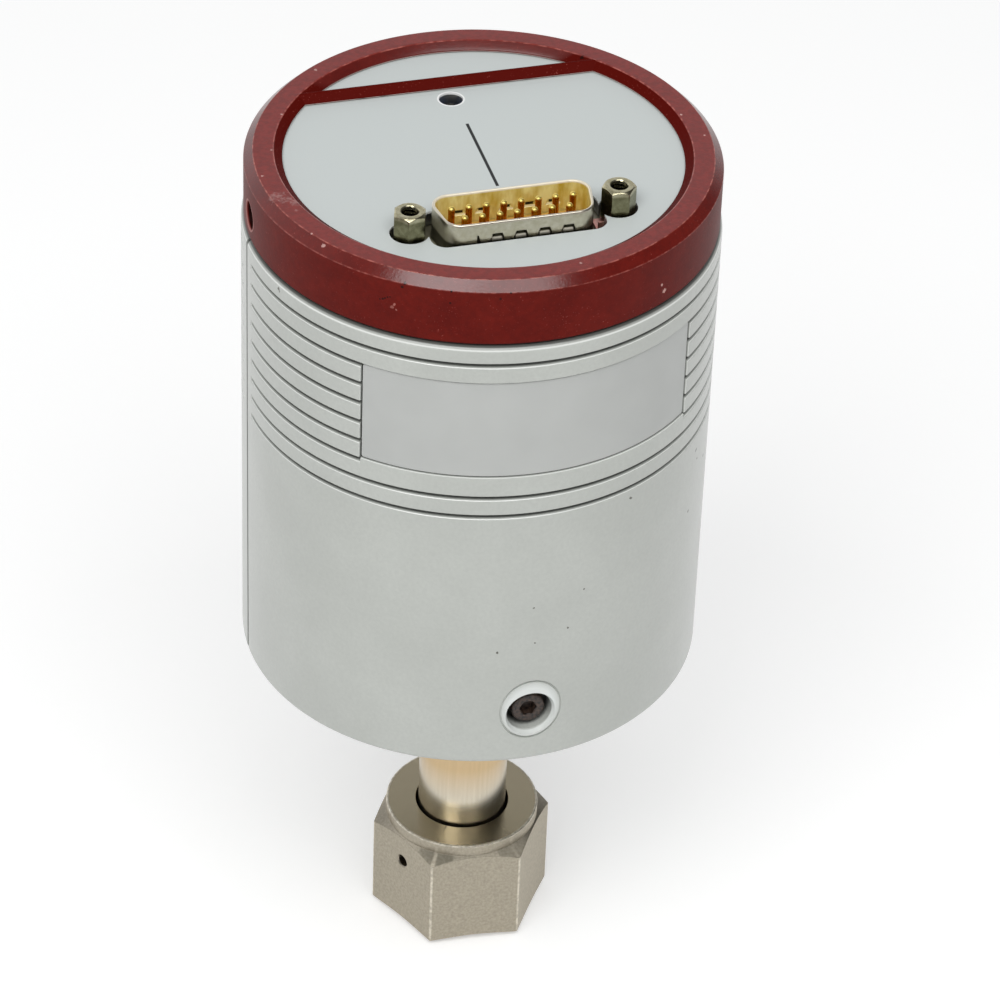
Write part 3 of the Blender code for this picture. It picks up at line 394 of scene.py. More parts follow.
capChips = [
    (-30.69, -20.11, 154.96, 0.32), (-31.82, -17.23, 155.43, 0.18), (-20.28, 28.67, 155.45, 0.22),
    (-28.64, 16.82, 155.45, 0.18), (33.24, 3.06, 155.45, 0.2), (35.12, -3.58, 155.45, 0.2),
    (-32.52, 6.99, 155.45, 0.18), (-35.63, 0.05, 155.45, 0.2), (5.99, -33.92, 155.45, 0.22),
    (20.25, -31.8, 146.77, 0.35), (19.75, -32.11, 148.16, 0.22),
]
capScuffs = [(-33.63, -7.04, 155.45, 1.0), (-34.79, -5.92, 155.45, 1.0), (-32.39, -8.46, 155.45, 1.0)]
wallSpecks = [(-22.44, -30.29, 149.25, 0.28), (-22.1, -30.5, 149.8, 0.22), (-21.9, -30.7, 148.9, 0.2)]
capNicks = [
    (-24.02, -29.05, 150.13, 0.16), (-23.7, -29.3, 150.3, 0.18), (-23.38, -29.57, 150.56, 0.18),
    (-23.05, -29.8, 150.8, 0.18), (-22.73, -30.07, 150.98, 0.15),
    (-20.77, -31.32, 154.07, 0.2), (-14.46, -34.81, 153.91, 0.22), (-5.85, -37.22, 153.95, 0.2),
    (-14.55, -34.78, 151.8, 0.2), (-7.38, -36.97, 152.92, 0.2), (-21.12, -31.22, 153.33, 0.2),
    (22.72, 23.48, 155.18, 0.35),
]


def redPlastic():
    # moulded dark red plastic: matt in the windows and painted darker in the front window for shade, glossier
    # and painted lighter on the rim's flat top, painted highlight lines along the edges and round the side
    # holes, painted shade inside the side holes, with specks, chips, one scuff and a few dark nicks
    material, shader, spot = startMaterial("redPlastic", "721810", 0.0, 0.42)
    y, z, reach = splitAxes(spot)[1:]
    outside = ramp(reach, 32.85, 33.0)
    inside = fade(reach, 32.85, 33.0)
    above = ramp(z, 153.85, 154.0)
    behind = ramp(y, 24.5, 26.0)
    rim = both(outside, above)
    well = both(inside, fade(y, 24.5, 26.0))
    glossy = either(rim, both(inside, behind))
    tone = tones(spot, 6.0, 4.0)
    colour = mixColour(tone, "62130C", "6C1810")
    # painted highlight: the rim's flat top is painted a lighter red
    colour = mixColour(both(rim, fade(reach, 36.0, 36.3)), colour, "7F211A")
    # painted shade: the front window's bevels and the rib's face are painted darker
    colour = mixColour(well, colour, "560E08")
    patchy = remap(grain(spot, 1.1, 4.0), 0.42, 0.6, 0.15, 0.9)
    # painted highlight lines along the ring's inner and outer edges and the chamfer's foot, broken up by
    # noise
    edges = []
    for edge, width in ((33.0, 0.13), (36.2, 0.12)):
        off = calculate("ABSOLUTE", calculate("SUBTRACT", reach, edge * mm))
        edges.append(both(fade(off, width * 0.5, width), ramp(z, 155.2, 155.3)))
    off = calculate("ABSOLUTE", calculate("SUBTRACT", z, 153.95 * mm))
    edges.append(both(outside, ramp(off, 0.06, 0.12, 0.6, 0.0)))
    colour = mixColour(both(either(*edges), patchy), colour, "B4655B")
    clusters = remap(grain(spot, 7.0, 3.0), 0.42, 0.62, 0.25, 0.9)
    specks = remap(grain(spot, 0.28, 1.0), 0.69, 0.75, 0.0, 0.8)
    colour = mixColour(both(specks, clusters), colour, "9C4E46")
    patch = both(marks(spot, capScuffs, 1.2, 0.6), remap(grain(spot, 0.4, 2.0), 0.4, 0.6, 0.1, 0.55))
    colour = mixColour(patch, colour, "B08884")
    for places, hexText in ((wallSpecks, "A5655C"), (capChips, "C99D95"), (capNicks, "2A0F0C")):
        colour = mixColour(marks(spot, places), colour, hexText)
    mottle = remap(grain(spot, 0.9, 4.0), 0.38, 0.62, 0.0, 0.35)
    colour = mixColour(both(mottle, inverse(well)), colour, "50100B")
    sideHole = (0.0, 148.5 * mm, 0.0)
    fromHole = measure("DISTANCE", combine(y, z), sideHole)
    # painted highlight on the chamfered edge of each side hole
    rimmed = both(ramp(fromHole, 2.3, 2.38, 0.0, 0.7), fade(fromHole, 2.6, 2.7))
    colour = mixColour(rimmed, colour, "C48A84")
    # painted shade inside the side holes
    bored = both(ramp(fromHole, 2.28, 2.32, 0.95, 0.0), fade(reach, 37.3, 37.45))
    colour = mixColour(bored, colour, "1E0806")
    # painted highlight: a pale line along the foot of the window bevels
    foot = both(inside, ramp(z, 154.12, 154.22, 0.8, 0.0))
    colour = mixColour(foot, colour, "E2CFC8")
    link(colour, shader.inputs["Base Color"])
    level = addNode("Mix", {0: well, 2: 0.08, 3: 0.02}).outputs[0]
    level = addNode("Mix", {0: glossy, 2: level, 3: 0.55}).outputs[0]
    link(level, shader.inputs["Specular IOR Level"])
    shine = remap(glossy, 0.0, 1.0, 0.45, 0.3)
    slope = both(above, ramp(reach, 36.2, 36.35))
    link(addNode("Mix", {0: slope, 2: shine, 3: 0.2}).outputs[0], shader.inputs["Roughness"])
    addBump(shader, grain(spot, 0.35), 0.016)
    return material


def printedFilm():
    # screen printed polycarbonate overlay: flat light grey, one thin printed rule, milky cut edges
    material, shader, spot = startMaterial("printedFilm", "C9CFCD", 0.0, 0.42)
    x, y = splitAxes(spot)[:2]
    ruleMiddle = 1.0 * mm
    across = fade(calculate("ABSOLUTE", x), 0.22, 0.28)
    along = fade(calculate("ABSOLUTE", calculate("SUBTRACT", y, ruleMiddle)), 9.2, 9.3)
    colour = mixColour(both(across, along), "C9CFCD", "0B0F0F")
    zeroHole = (-0.6 * mm, 17.95 * mm, 0.0)
    fromHole = measure("DISTANCE", combine(x, y), zeroHole)
    ring = fade(fromHole, 2.15, 2.3)
    upright = addNode("SeparateXYZ", {0: addNode("TexCoord").outputs["Normal"]}).outputs["Z"]
    cut = remap(upright, 0.5, 0.95, 1.0, 0.0)
    colour = mixColour(either(ring, cut), colour, "F4F6F4")
    link(colour, shader.inputs["Base Color"])
    addBump(shader, grain(spot, 0.3), 0.004)
    return material


def labelFilm():
    # blank self-adhesive vinyl: smoother and a little darker than the housing round it
    material, shader, spot = startMaterial("labelFilm", "BBBDBA", 0.0, 0.38)
    tone = tones(spot, 9.0)
    link(mixColour(tone, "B9BBB8", "BDBFBC"), shader.inputs["Base Color"])
    addBump(shader, grain(spot, 1.4), 0.004)
    return material


def turnedSteel(name, low, high, roughness):
    # turned stainless steel: fine tool marks run round it and draw its reflections out into streaks
    material, shader, spot = startMaterial(name, low, 1.0, roughness, Anisotropic=0.6)
    tone = tones(spot, 0.5, 3.0)
    link(mixColour(tone, low, high), shader.inputs["Base Color"])
    runRound(shader)
    addBump(shader, grain(spot, 0.5, 1.0, (0.08, 0.08, 6.0)), 0.0015)
    return material


def wornNutSteel():
    # stainless nut: milled faces with a fine speckle, darker turned end, hex corners partly rubbed bright and
    # partly a painted highlight, and a painted highlight along the collar's top edge
    material, shader, spot = startMaterial("nutSteel", "A39B8C", 1.0, 0.4, Anisotropic=0.9)
    z, reach = splitAxes(spot)[2:]
    tone = remap(grain(spot, 0.45, 4.0), 0.3, 0.7, 0.0, 1.0)
    colour = mixColour(tone, "A39B8C", "B7AF9E")
    end = both(ramp(z, 21.4, 21.6), fade(reach, 12.7, 12.9))
    colour = mixColour(end, colour, "B3A88F")
    patchy = remap(grain(spot, 0.9, 3.0), 0.4, 0.6, 0.35, 1.0)
    # the hex corners, partly rubbed bare and partly a painted highlight, and a painted highlight on the
    # collar's top edge
    corners = ramp(reach, 15.44, 15.49, 0.0, 0.7)
    lip = both(ramp(reach, 12.8, 12.88), ramp(z, 21.4, 21.5))
    colour = mixColour(both(either(corners, lip), patchy), colour, "EDE6D6")
    link(colour, shader.inputs["Base Color"])
    link(remap(end, 0.0, 1.0, 0.42, 0.2), shader.inputs["Roughness"])
    runRound(shader)
    speckle = both(grain(spot, 0.22, 2.0), fade(z, 21.4, 21.5))
    addBump(shader, speckle, 0.004)
    return material


def tintedTube():
    # drawn stainless tube, bright and smooth, with a straw heat tint towards the housing
    material, shader, spot = startMaterial("tubeSteel", "D6D0C2", 1.0, 0.27, Anisotropic=0.3)
    z = splitAxes(spot)[2]
    tint = ramp(z, 27.0, 34.0)
    colour = mixColour(tint, "D6D0C2", "C8AF8A")
    streaks = remap(grain(spot, 0.5, 2.0, (1.0, 1.0, 0.04)), 0.35, 0.65, 0.0, 0.16)
    link(mixColour(streaks, colour, "A8946F"), shader.inputs["Base Color"])
    runRound(shader)
    return material


def plated(name, low, high, roughness):
    # bright electroplate on stamped or turned metal: smooth, with faint uneven tarnish
    material, shader, spot = startMaterial(name, low, 1.0, roughness)
    tone = tones(spot, 1.6, 4.0)
    link(mixColour(tone, low, high), shader.inputs["Base Color"])
    addBump(shader, grain(spot, 0.6), 0.006)
    return material


def drawnShell():
    # nickel plated drawn steel: pale outside; yellow within, partly tarnish and partly a painted reflection
    # of the gold insulator; painted highlight on the rim and on the dents; painted shade at the foot, under
    # the dents' top edges and at the left end
    material, shader, spot = startMaterial("drawnShell", "CEC7B1", 1.0, 0.3)
    x, y, z = splitAxes(spot)[:3]
    tone = tones(spot, 0.9, 4.0)
    colour = mixColour(tone, "C9C2AB", "DAD4C2")
    # faces that look towards the plug's long middle line are its inside
    plugY, dentMiddle, halfPitch = -18.0 * mm, -0.17 * mm, 1.885 * mm
    fromCentre = combine(calculate("MULTIPLY", x, 0.1), calculate("SUBTRACT", y, plugY))
    outward = measure("DOT_PRODUCT", addNode("TexCoord").outputs["Normal"], fromCentre)
    within = fade(outward, -0.6, -0.2)
    # yellow inside, partly tarnish streaks and partly a painted reflection of the gold insulator
    streaks = tones(spot, 1.9, 4.0, (1.0, 1.0, 0.35))
    tarnishAndReflection = mixColour(streaks, "C9AC36", "F8EE9E")
    colour = mixColour(within, colour, tarnishAndReflection)
    frontDent = ramp(y, -22.62, -22.58)
    alongX = calculate("SUBTRACT", x, dentMiddle)
    offDent = calculate("PINGPONG", alongX, halfPitch)
    without = inverse(within)
    inDent = both(frontDent, fade(y, -22.0, -21.95), without)
    # painted shade under the dents' top edges and, fainter, along the front dents' sides
    frontSlope = either(both(inDent, ramp(z, 154.12, 154.3, 0.0, 0.92)),
                        both(inDent, ramp(y, -22.35, -22.28, 0.55, 0.0)))
    # painted light on the lower floors of the front dents
    dentFloor = both(inDent, ramp(y, -22.4, -22.3, 0.0, 0.85), fade(z, 154.05, 154.15),
                     ramp(alongX, -8.5, -8.4), fade(alongX, 8.4, 8.5))
    backDent = both(ramp(y, -13.82, -13.79), within)
    backSlope = both(backDent, ramp(z, 153.38, 153.44), fade(offDent, 0.6, 0.7))
    # painted highlight on the lit faces of the back dents
    backDentLight = both(backDent, ramp(z, 153.32, 153.38, 0.7, 0.0))
    nearDents = both(fade(calculate("ABSOLUTE", x), 8.95, 9.05), fade(z, 155.04, 155.08))
    outlines = both(either(frontSlope, backSlope), nearDents)
    # painted highlight on the rolled rim
    paintedBright = ramp(z, 156.6, 156.8, 0.0, 0.9)
    colour = mixColour(paintedBright, colour, "F6EEDC")
    # painted shade at the plug's left end
    corner = both(fade(x, -11.6, -10.6), ramp(z, 155.6, 156.6, 0.7, 0.0), without)
    # painted shade low on the outer wall where it goes down into the overlay's opening, fainter on the flange
    foot = both(ramp(z, 153.5, 153.9, 0.9, 0.0), ramp(z, 151.2, 151.4, 0.3, 1.0), without)
    colour = mixColour(corner, colour, "8A8768")
    colour = mixColour(dentFloor, colour, "F6F1E2")
    colour = mixColour(backDentLight, colour, "FFF6CE")
    colour = mixColour(either(foot, outlines), colour, "2B2917")
    link(colour, shader.inputs["Base Color"])
    dull = either(within, both(corner, 1.1), ramp(z, 151.2, 151.4, 0.6, 0.0), dentFloor)
    link(remap(dull, 0.0, 1.0, 1.0, 0.2), shader.inputs["Metallic"])
    addBump(shader, grain(spot, 0.6), 0.006)
    return material


def platedPost():
    # zinc-nickel plated turned hexagon: olive, lighter on top, with painted shade darkening it towards its
    # foot and inside its threaded bore
    material, shader, spot = startMaterial("postNickel", "A39B79", 1.0, 0.26)
    x, y, z = splitAxes(spot)[:3]
    tone = tones(spot, 0.8, 4.0)
    colour = mixColour(tone, "B7B08E", "CFC9AC")
    # painted shade: mottled and darker below the top
    low = ramp(z, 156.9, 157.3, 0.85, 0.0)
    mottled = mixColour(tone, "66644A", "868465")
    colour = mixColour(low, colour, mottled)
    postAxis = (16.66 * mm, -18.0 * mm, 0.0)
    fromAxis = measure("DISTANCE", combine(calculate("ABSOLUTE", x), y), postAxis)
    # painted shade inside the threaded bore
    bore = ramp(fromAxis, 1.3, 1.42, 0.9, 0.0)
    colour = mixColour(bore, colour, "2B291B")
    link(colour, shader.inputs["Base Color"])
    addBump(shader, grain(spot, 0.6), 0.006)
    return material


def goldPin():
    # gold plated contact: the rounded tip is painted pale as a highlight
    material, shader, spot = startMaterial("goldPlate", "C98F2C", 1.0, 0.24)
    z = splitAxes(spot)[2]
    # painted highlight on the rounded tip
    tip = ramp(z, 156.15, 156.35)
    tone = tones(spot, 0.8)
    colour = mixColour(tone, "C4852A", "DDA440")
    link(mixColour(tip, colour, "FFE686"), shader.inputs["Base Color"])
    link(remap(tip, 0.0, 1.0, 0.24, 0.42), shader.inputs["Roughness"])
    return material


def mouldedPlastic(name, low, high, roughness, patch=3.0):
    # moulded plastic: even colour, soft gloss and a faint mould texture
    material, shader, spot = startMaterial(name, low, 0.0, roughness)
    tone = tones(spot, patch)
    link(mixColour(tone, low, high), shader.inputs["Base Color"])
    addBump(shader, grain(spot, 0.25), 0.006)
    return material


housingPlastic = greyPlastic()
capPlastic = redPlastic()
film = printedFilm()
vinyl = labelFilm()
nutSteel = wornNutSteel()
tubeSteel = tintedTube()
sensorSteel = turnedSteel("sensorSteel", "C9C4BA", "D2CEC5", 0.26)
nickel = drawnShell()
postNickel = platedPost()
gold = goldPin()
tarnishedCopper = plated("tarnishedCopper", "EBA094", "F6C6BC", 0.35)
brass = plated("brass", "B48A3C", "C29A4C", 0.32)
darkSteel = plated("darkSteel", "3C3B38", "55534E", 0.4)
aluminium = plated("sheetAluminium", "BDBFBF", "C8CACA", 0.38)
blackOxide = mouldedPlastic("blackOxide", "120C09", "4A3A30", 0.42, 0.5)
insulatorPlastic = mouldedPlastic("insulatorPlastic", "D9A94C", "E2B65C", 0.42)
boardGreen = mouldedPlastic("boardGreen", "27533A", "2F6044", 0.45)
heaterFilm = mouldedPlastic("heaterFilm", "A85A2A", "B86A34", 0.5)
foam = mouldedPlastic("foam", "D5CFC1", "DFDACD", 0.85)
ceramic = mouldedPlastic("ceramic", "E2DED4", "EAE6DD", 0.35)
trimmerBlue = mouldedPlastic("trimmerBlue", "2A4A84", "31548F", 0.4)
print("materials made")


camera = {"place": (-165.46, -569.18, 533.61), "aim": (4.42, -1.38, 86.87), "rollDeg": 2.243, "lens": 161.11}


def placeCamera():
    data = bpy.data.cameras.new("camera")
    data.lens = camera["lens"]
    data.sensor_width = 36.0
    data.sensor_fit = "HORIZONTAL"
    data.clip_end = 20.0
    spot = Vector(camera["place"]) * mm
    ahead = (Vector(camera["aim"]) * mm - spot).normalized()
    right = ahead.cross(Vector((0, 0, 1))).normalized()
    up = right.cross(ahead)
    roll = math.radians(camera["rollDeg"])
    right, up = right * math.cos(roll) + up * math.sin(roll), up * math.cos(roll) - right * math.sin(roll)
    turn = Matrix((right, up, -ahead)).transposed().to_4x4()
    holder = bpy.data.objects.new("camera", data)
    holder.matrix_world = Matrix.Translation(spot) @ turn
    scene.collection.objects.link(holder)
    scene.camera = holder


lamps = {  # place and aim in metres, size in metres, power in watts
    "leftBox": {"place": (-0.52, -0.60, 1.10), "aim": (0, 0, 0.1), "size": (0.6, 0.6), "power": 6.1},
    "frontBox": {"place": (0.08, -0.70, 1.14), "aim": (0, 0, 0.1), "size": (0.6, 0.6), "power": 4.4},
}


def hangLamp(name, lamp):
    data = bpy.data.lights.new(name, "AREA")
    data.shape = "RECTANGLE"
    data.size, data.size_y = lamp["size"]
    data.energy = lamp["power"]
    holder = bpy.data.objects.new(name, data)
    holder.location = lamp["place"]
    aim = Vector(lamp["aim"]) - Vector(lamp["place"])
    holder.rotation_euler = aim.to_track_quat("-Z", "Y").to_euler()
    scene.collection.objects.link(holder)


def seenDirectly():
    # 1 for what the camera sees itself, or by reflection or through glass
    rays = addNode("LightPath").outputs
    return either(rays["Is Camera Ray"], rays["Is Glossy Ray"], rays["Is Transmission Ray"])


def lightWorld():
    world = bpy.data.worlds.new("studio")
    scene.world = world
    background = startTree(world)["Background"]
    # white backdrop behind, greyer towards the ceiling, and an unlit room in front
    axes = addNode("SeparateXYZ", {0: addNode("TexCoord").outputs["Generated"]})
    back = addNode("Math", {0: axes.outputs["X"], 1: -0.45, 2: axes.outputs["Y"]}, operation="MULTIPLY_ADD")
    backdrop = both(remap(axes.outputs["Z"], 0.2, 0.75, 1.0, 0.42),
                    remap(back.outputs[0], 0.0, 0.5, 0.1, 1.0))
    strength = addNode("Mix", {0: seenDirectly(), 2: 0.47, 3: backdrop}).outputs[0]
    link(strength, background.inputs["Strength"])
    background.inputs["Color"].default_value = linearColour("FCFDFF")


def layFloor():
    skin = newSkin()
    reach = 2500
    fillFlat(skin, flatLoop(skin, [(-reach, -reach), (reach, -reach), (reach, reach), (-reach, reach)], 0))
    floor = makePiece("floor", skin)
    material = bpy.data.materials.new("floorPaper")
    nodes = startTree(material)
    nodes.remove(nodes["Principled BSDF"])
    paper = addNode("BsdfDiffuse", {"Color": linearColour("E6E6E5")})
    lift = remap(seenDirectly(), 0.0, 1.0, 0.0, 0.35)
    glow = addNode("Emission", {"Color": linearColour("FFFFFF"), "Strength": lift})
    whole = addNode("AddShader", {0: paper.outputs[0], 1: glow.outputs[0]}).outputs[0]
    link(whole, nodes["Material Output"].inputs["Surface"])
    floor.data.materials.append(material)


placeCamera()
for lampName, lampFacts in lamps.items():
    hangLamp(lampName, lampFacts)
lightWorld()
layFloor()
scene.view_settings.view_transform = "Standard"
print("camera, lamps and floor placed")


shells = {  # the two halves of the housing
    "radius": 38.1, "bottom": 61.7, "top": 144.1, "inner": 35.1, "floor": 2.6, "tubeOpening": 8.6,
    "edgeRound": 1.0, "tongueOuter": 34.9, "tongueInner": 33.3, "tongueHeight": 1.9, "tongueRoot": 1.9,
    "seamGap": 0.3, "seamRound": 0.35, "stepDeg": 1.5,
    "grooveFirst": 140.7, "groovePitch": 3.6, "grooveCount": 9, "grooveStartDeg": 3.8,
    "recessHalfDeg": 44.1, "recessBottom": 119.5, "recessTop": 137.5, "recessDepth": 0.7,
    "screwHeight": 71.4, "pocketRadius": 3.75, "pocketFloor": 33.3, "sinkDepth": 0.9,
    "bossRadius": 5.4, "bossFace": 30.3,
}
grooveShape = [  # height from the groove's middle, depth: square upper edge, sloping lower wall
    (-0.56, 0.0), (-0.50, 0.03), (-0.36, 0.22), (-0.30, 0.34), (-0.08, 0.72), (0.0, 0.79), (0.1, 0.8),
    (0.40, 0.8), (0.44, 0.74), (0.47, 0.06), (0.50, 0.01), (0.53, 0.0),
]
grooveEnd = [(0.0, 0.0), (0.05, 0.75), (0.14, 1.0)]
recessEdge = [(-0.17, 1.0), (-0.10, 0.88), (-0.03, 0.3), (0.03, 0.07), (0.12, 0.0)]
grooveRunOut = [(-0.27, 0.0), (-0.2, 1.0)]


def arcMm(degrees):
    return math.radians(degrees) * shells["radius"]


def arcDeg(length):
    return math.degrees(length / shells["radius"])


def shellDepth(deg, z, hasLabel):
    # how far the outside is cut in at this place; deg runs from -180 to 0 over one half
    fromSeam = arcMm(min(deg + 180, -deg) - shells["grooveStartDeg"])
    fromSide = arcMm(abs(deg + 90) - shells["recessHalfDeg"])
    depth = 0.0
    reach, rise = grooveShape[0][0] - 0.01, grooveShape[-1][0] + 0.01
    for k in range(shells["grooveCount"]):
        centre = shells["grooveFirst"] - k * shells["groovePitch"]
        off = z - centre
        if reach < off < rise:
            depth = interpolate(grooveShape, off) * interpolate(grooveEnd, fromSeam)
            if hasLabel and shells["recessBottom"] - 1.05 < centre < shells["recessTop"] + 0.52:
                depth *= interpolate(grooveRunOut, fromSide)
    if hasLabel:
        fromEnd = max(z - shells["recessTop"], shells["recessBottom"] - z)
        share = min(interpolate(recessEdge, fromSide), interpolate(recessEdge, fromEnd))
        depth = max(depth, share * shells["recessDepth"])
    return depth


def stations(values, least):
    kept = []
    for value in sorted(values):
        if not kept or value - kept[-1] > least:
            kept.append(value)
    return kept


def shellStations(hasLabel):
    seam = math.degrees(shells["seamGap"] / 2 / shells["radius"])
    low, high = -180 + seam, -seam
    spans = round(180 / shells["stepDeg"])
    degs = [low + k * (high - low) / spans for k in range(spans + 1)]
    near = [arcDeg(reach) for reach in (0.06, 0.14, 0.24, 0.35)]
    near += [shells["grooveStartDeg"] - seam + arcDeg(reach) for reach, share in grooveEnd]
    degs += [low + reach for reach in near] + [high - reach for reach in near]
    heights = []
    for k in range(shells["grooveCount"]):
        centre = shells["grooveFirst"] - k * shells["groovePitch"]
        heights += [centre + off for off, depth in grooveShape]
    if hasLabel:
        for off, share in recessEdge + grooveRunOut:
            reach = shells["recessHalfDeg"] + arcDeg(off)
            degs += [-90 - reach, -90 + reach]
        for off, share in recessEdge:
            heights += [shells["recessTop"] + off, shells["recessBottom"] - off]
    heights += [shells["bottom"] + rise for rise in (12, 24, 36)]
    return stations(degs, 0.004), stations(heights, 0.004)


def halfShell(name, material, turnDeg, hasLabel):
    degs, heights = shellStations(hasLabel)
    radius, soft = shells["radius"], shells["edgeRound"]
    arc = [math.pi / 2 * k / 6 for k in range(7)]
    outside = [(radius - soft * (1 - math.sin(a)), shells["bottom"] + soft * (1 - math.cos(a))) for a in arc]
    outside += [(radius, z) for z in heights]
    outside += [(radius - soft * (1 - math.cos(a)), shells["top"] - soft * (1 - math.sin(a))) for a in arc]
    top, root = shells["top"], shells["top"] - shells["tongueRoot"]
    inside = [
        (shells["tongueOuter"], top),
        (shells["tongueOuter"], top + shells["tongueHeight"]),
        (shells["tongueInner"], top + shells["tongueHeight"]),
        (shells["tongueInner"], root),
        (shells["inner"], root - shells["inner"] + shells["tongueInner"]),
        (shells["inner"], shells["bottom"] + shells["floor"]),
        (shells["tubeOpening"], shells["bottom"] + shells["floor"]),
        (shells["tubeOpening"], shells["bottom"]),
    ]
    skin = newSkin()
    loops = []
    turn = math.radians(turnDeg)
    for deg in degs:
        fromSeam = arcMm(min(deg - degs[0], degs[-1] - deg))
        inset = max(shells["seamRound"] - fromSeam, 0.0)
        drop = shells["seamRound"] - math.sqrt(shells["seamRound"] ** 2 - inset ** 2)
        angle = math.radians(deg) + turn
        column = [around(angle, r - drop - shellDepth(deg, z, hasLabel), z) for r, z in outside]
        column += [around(angle, r, z) for r, z in inside]
        loops.append(addLoop(skin, column))
    bridgeRun(skin, loops)
    fillFlat(skin, loops[0])
    fillFlat(skin, loops[-1])
    shell = makePiece(name, skin)
    outward = Matrix.Rotation(turn, 4, "Z") @ Matrix.Rotation(math.pi / 2, 4, "X")
    outward.translation = (0, 0, shells["screwHeight"])
    boss = turned("boss", [(0, shells["bossFace"]), (shells["bossRadius"], shells["bossFace"]),
                           (shells["bossRadius"], shells["inner"] + 1.2), (0, shells["inner"] + 1.2)], 48)
    carve(shell, place(boss, outward), "UNION")
    sink = shells["radius"] - shells["sinkDepth"]
    pocket = rounded([
        (0, shells["bossFace"] - 0.5, 0), (1.9, shells["bossFace"] - 0.5, 0), (1.9, shells["pocketFloor"], 0),
        (shells["pocketRadius"], shells["pocketFloor"], 0), (shells["pocketRadius"], sink, 0.4),
        (shells["pocketRadius"] + 0.55, radius + 0.1, 0.3), (shells["pocketRadius"] + 0.7, radius + 0.5, 0),
        (0, radius + 0.5, 0),
    ])
    carve(shell, place(turned("pocket", pocket, 96), outward))
    # worn line round the pad, deep enough to pass through the whole curve of the wall
    line = [(4.72, radius + 0.5), (4.9, sink + 0.42), (5.03, sink + 0.35), (5.16, sink + 0.42),
            (5.34, radius + 0.5)]
    outward.translation = (0, 0, shells["screwHeight"] + 0.9)
    carve(shell, place(turned("outline", line, 96), outward @ Matrix.Diagonal((1, 1.14, 1, 1))))
    return finishPiece(shell, material, [name.replace("Shell", "_shell")])


def curvedLabel():
    label = {"inner": 37.55, "outer": 37.8, "halfDeg": 43.6, "bottom": 119.7, "top": 137.3, "corner": 0.4}
    middle = (label["bottom"] + label["top"]) / 2
    half = (label["top"] - label["bottom"]) / 2
    ends = [arcDeg(reach) for reach in (0.0, 0.05, 0.12, 0.2, 0.3, 0.4)]
    degs = [-label["halfDeg"] + reach for reach in ends] + [label["halfDeg"] - reach for reach in ends]
    degs += [k * 1.5 for k in range(-27, 28)]
    skin = newSkin()
    loops = []
    for deg in stations(degs, 0.004):
        inset = label["corner"] - arcMm(label["halfDeg"] - abs(deg))
        cut = label["corner"] - math.sqrt(label["corner"] ** 2 - inset ** 2) if inset > 0 else 0.0
        reach = half - cut
        profile = [(label["inner"], -reach), (label["outer"] - 0.05, -reach), (label["outer"], -reach + 0.06),
                   (label["outer"], reach - 0.06), (label["outer"] - 0.05, reach), (label["inner"], reach)]
        angle = math.radians(deg - 90)
        loops.append(addLoop(skin, [around(angle, r, middle + z) for r, z in profile]))
    bridgeRun(skin, loops)
    fillFlat(skin, loops[0])
    fillFlat(skin, loops[-1])
    return finishPiece(makePiece("labelPlate", skin), vinyl, ["front_label"])


halfShell("frontShell", housingPlastic, 0, True)
halfShell("rearShell", housingPlastic, 180, False)
curvedLabel()
print("half shells and label made")


cap = {  # with two windows, the rib between them and a hole at each side
    "radius": 37.7, "bottom": 144.4, "top": 155.45, "inner": 35.2, "ringOuter": 36.2, "ringInner": 33.0,
    "window": 31.6, "lipBottom": 154.1, "ribY": 22.1, "ribTop": 0.5, "ribSlope": 1.15,
    "chamfer": 1.5, "holeHeight": 148.5, "holeRadius": 2.25, "steps": 240,
}


def windowLoop(share, z, front):
    # outline of one window at this share of the way down its bevel
    radius = cap["ringInner"] - (cap["ringInner"] - cap["window"]) * share
    off = cap["ribTop"] / 2 + cap["ribSlope"] * share
    chord = cap["ribY"] - off if front else cap["ribY"] + off
    corner = math.asin(chord / radius)
    start, end = (corner, -math.pi - corner) if front else (corner, math.pi - corner)
    count = 180 if front else 70
    loop = [around(start + (end - start) * k / count, radius, z) for k in range(count + 1)]
    reach = radius * math.cos(corner)
    spans = 40
    loop += [(-reach + 2 * reach * k / spans, chord, z) for k in range(1, spans)]
    return loop


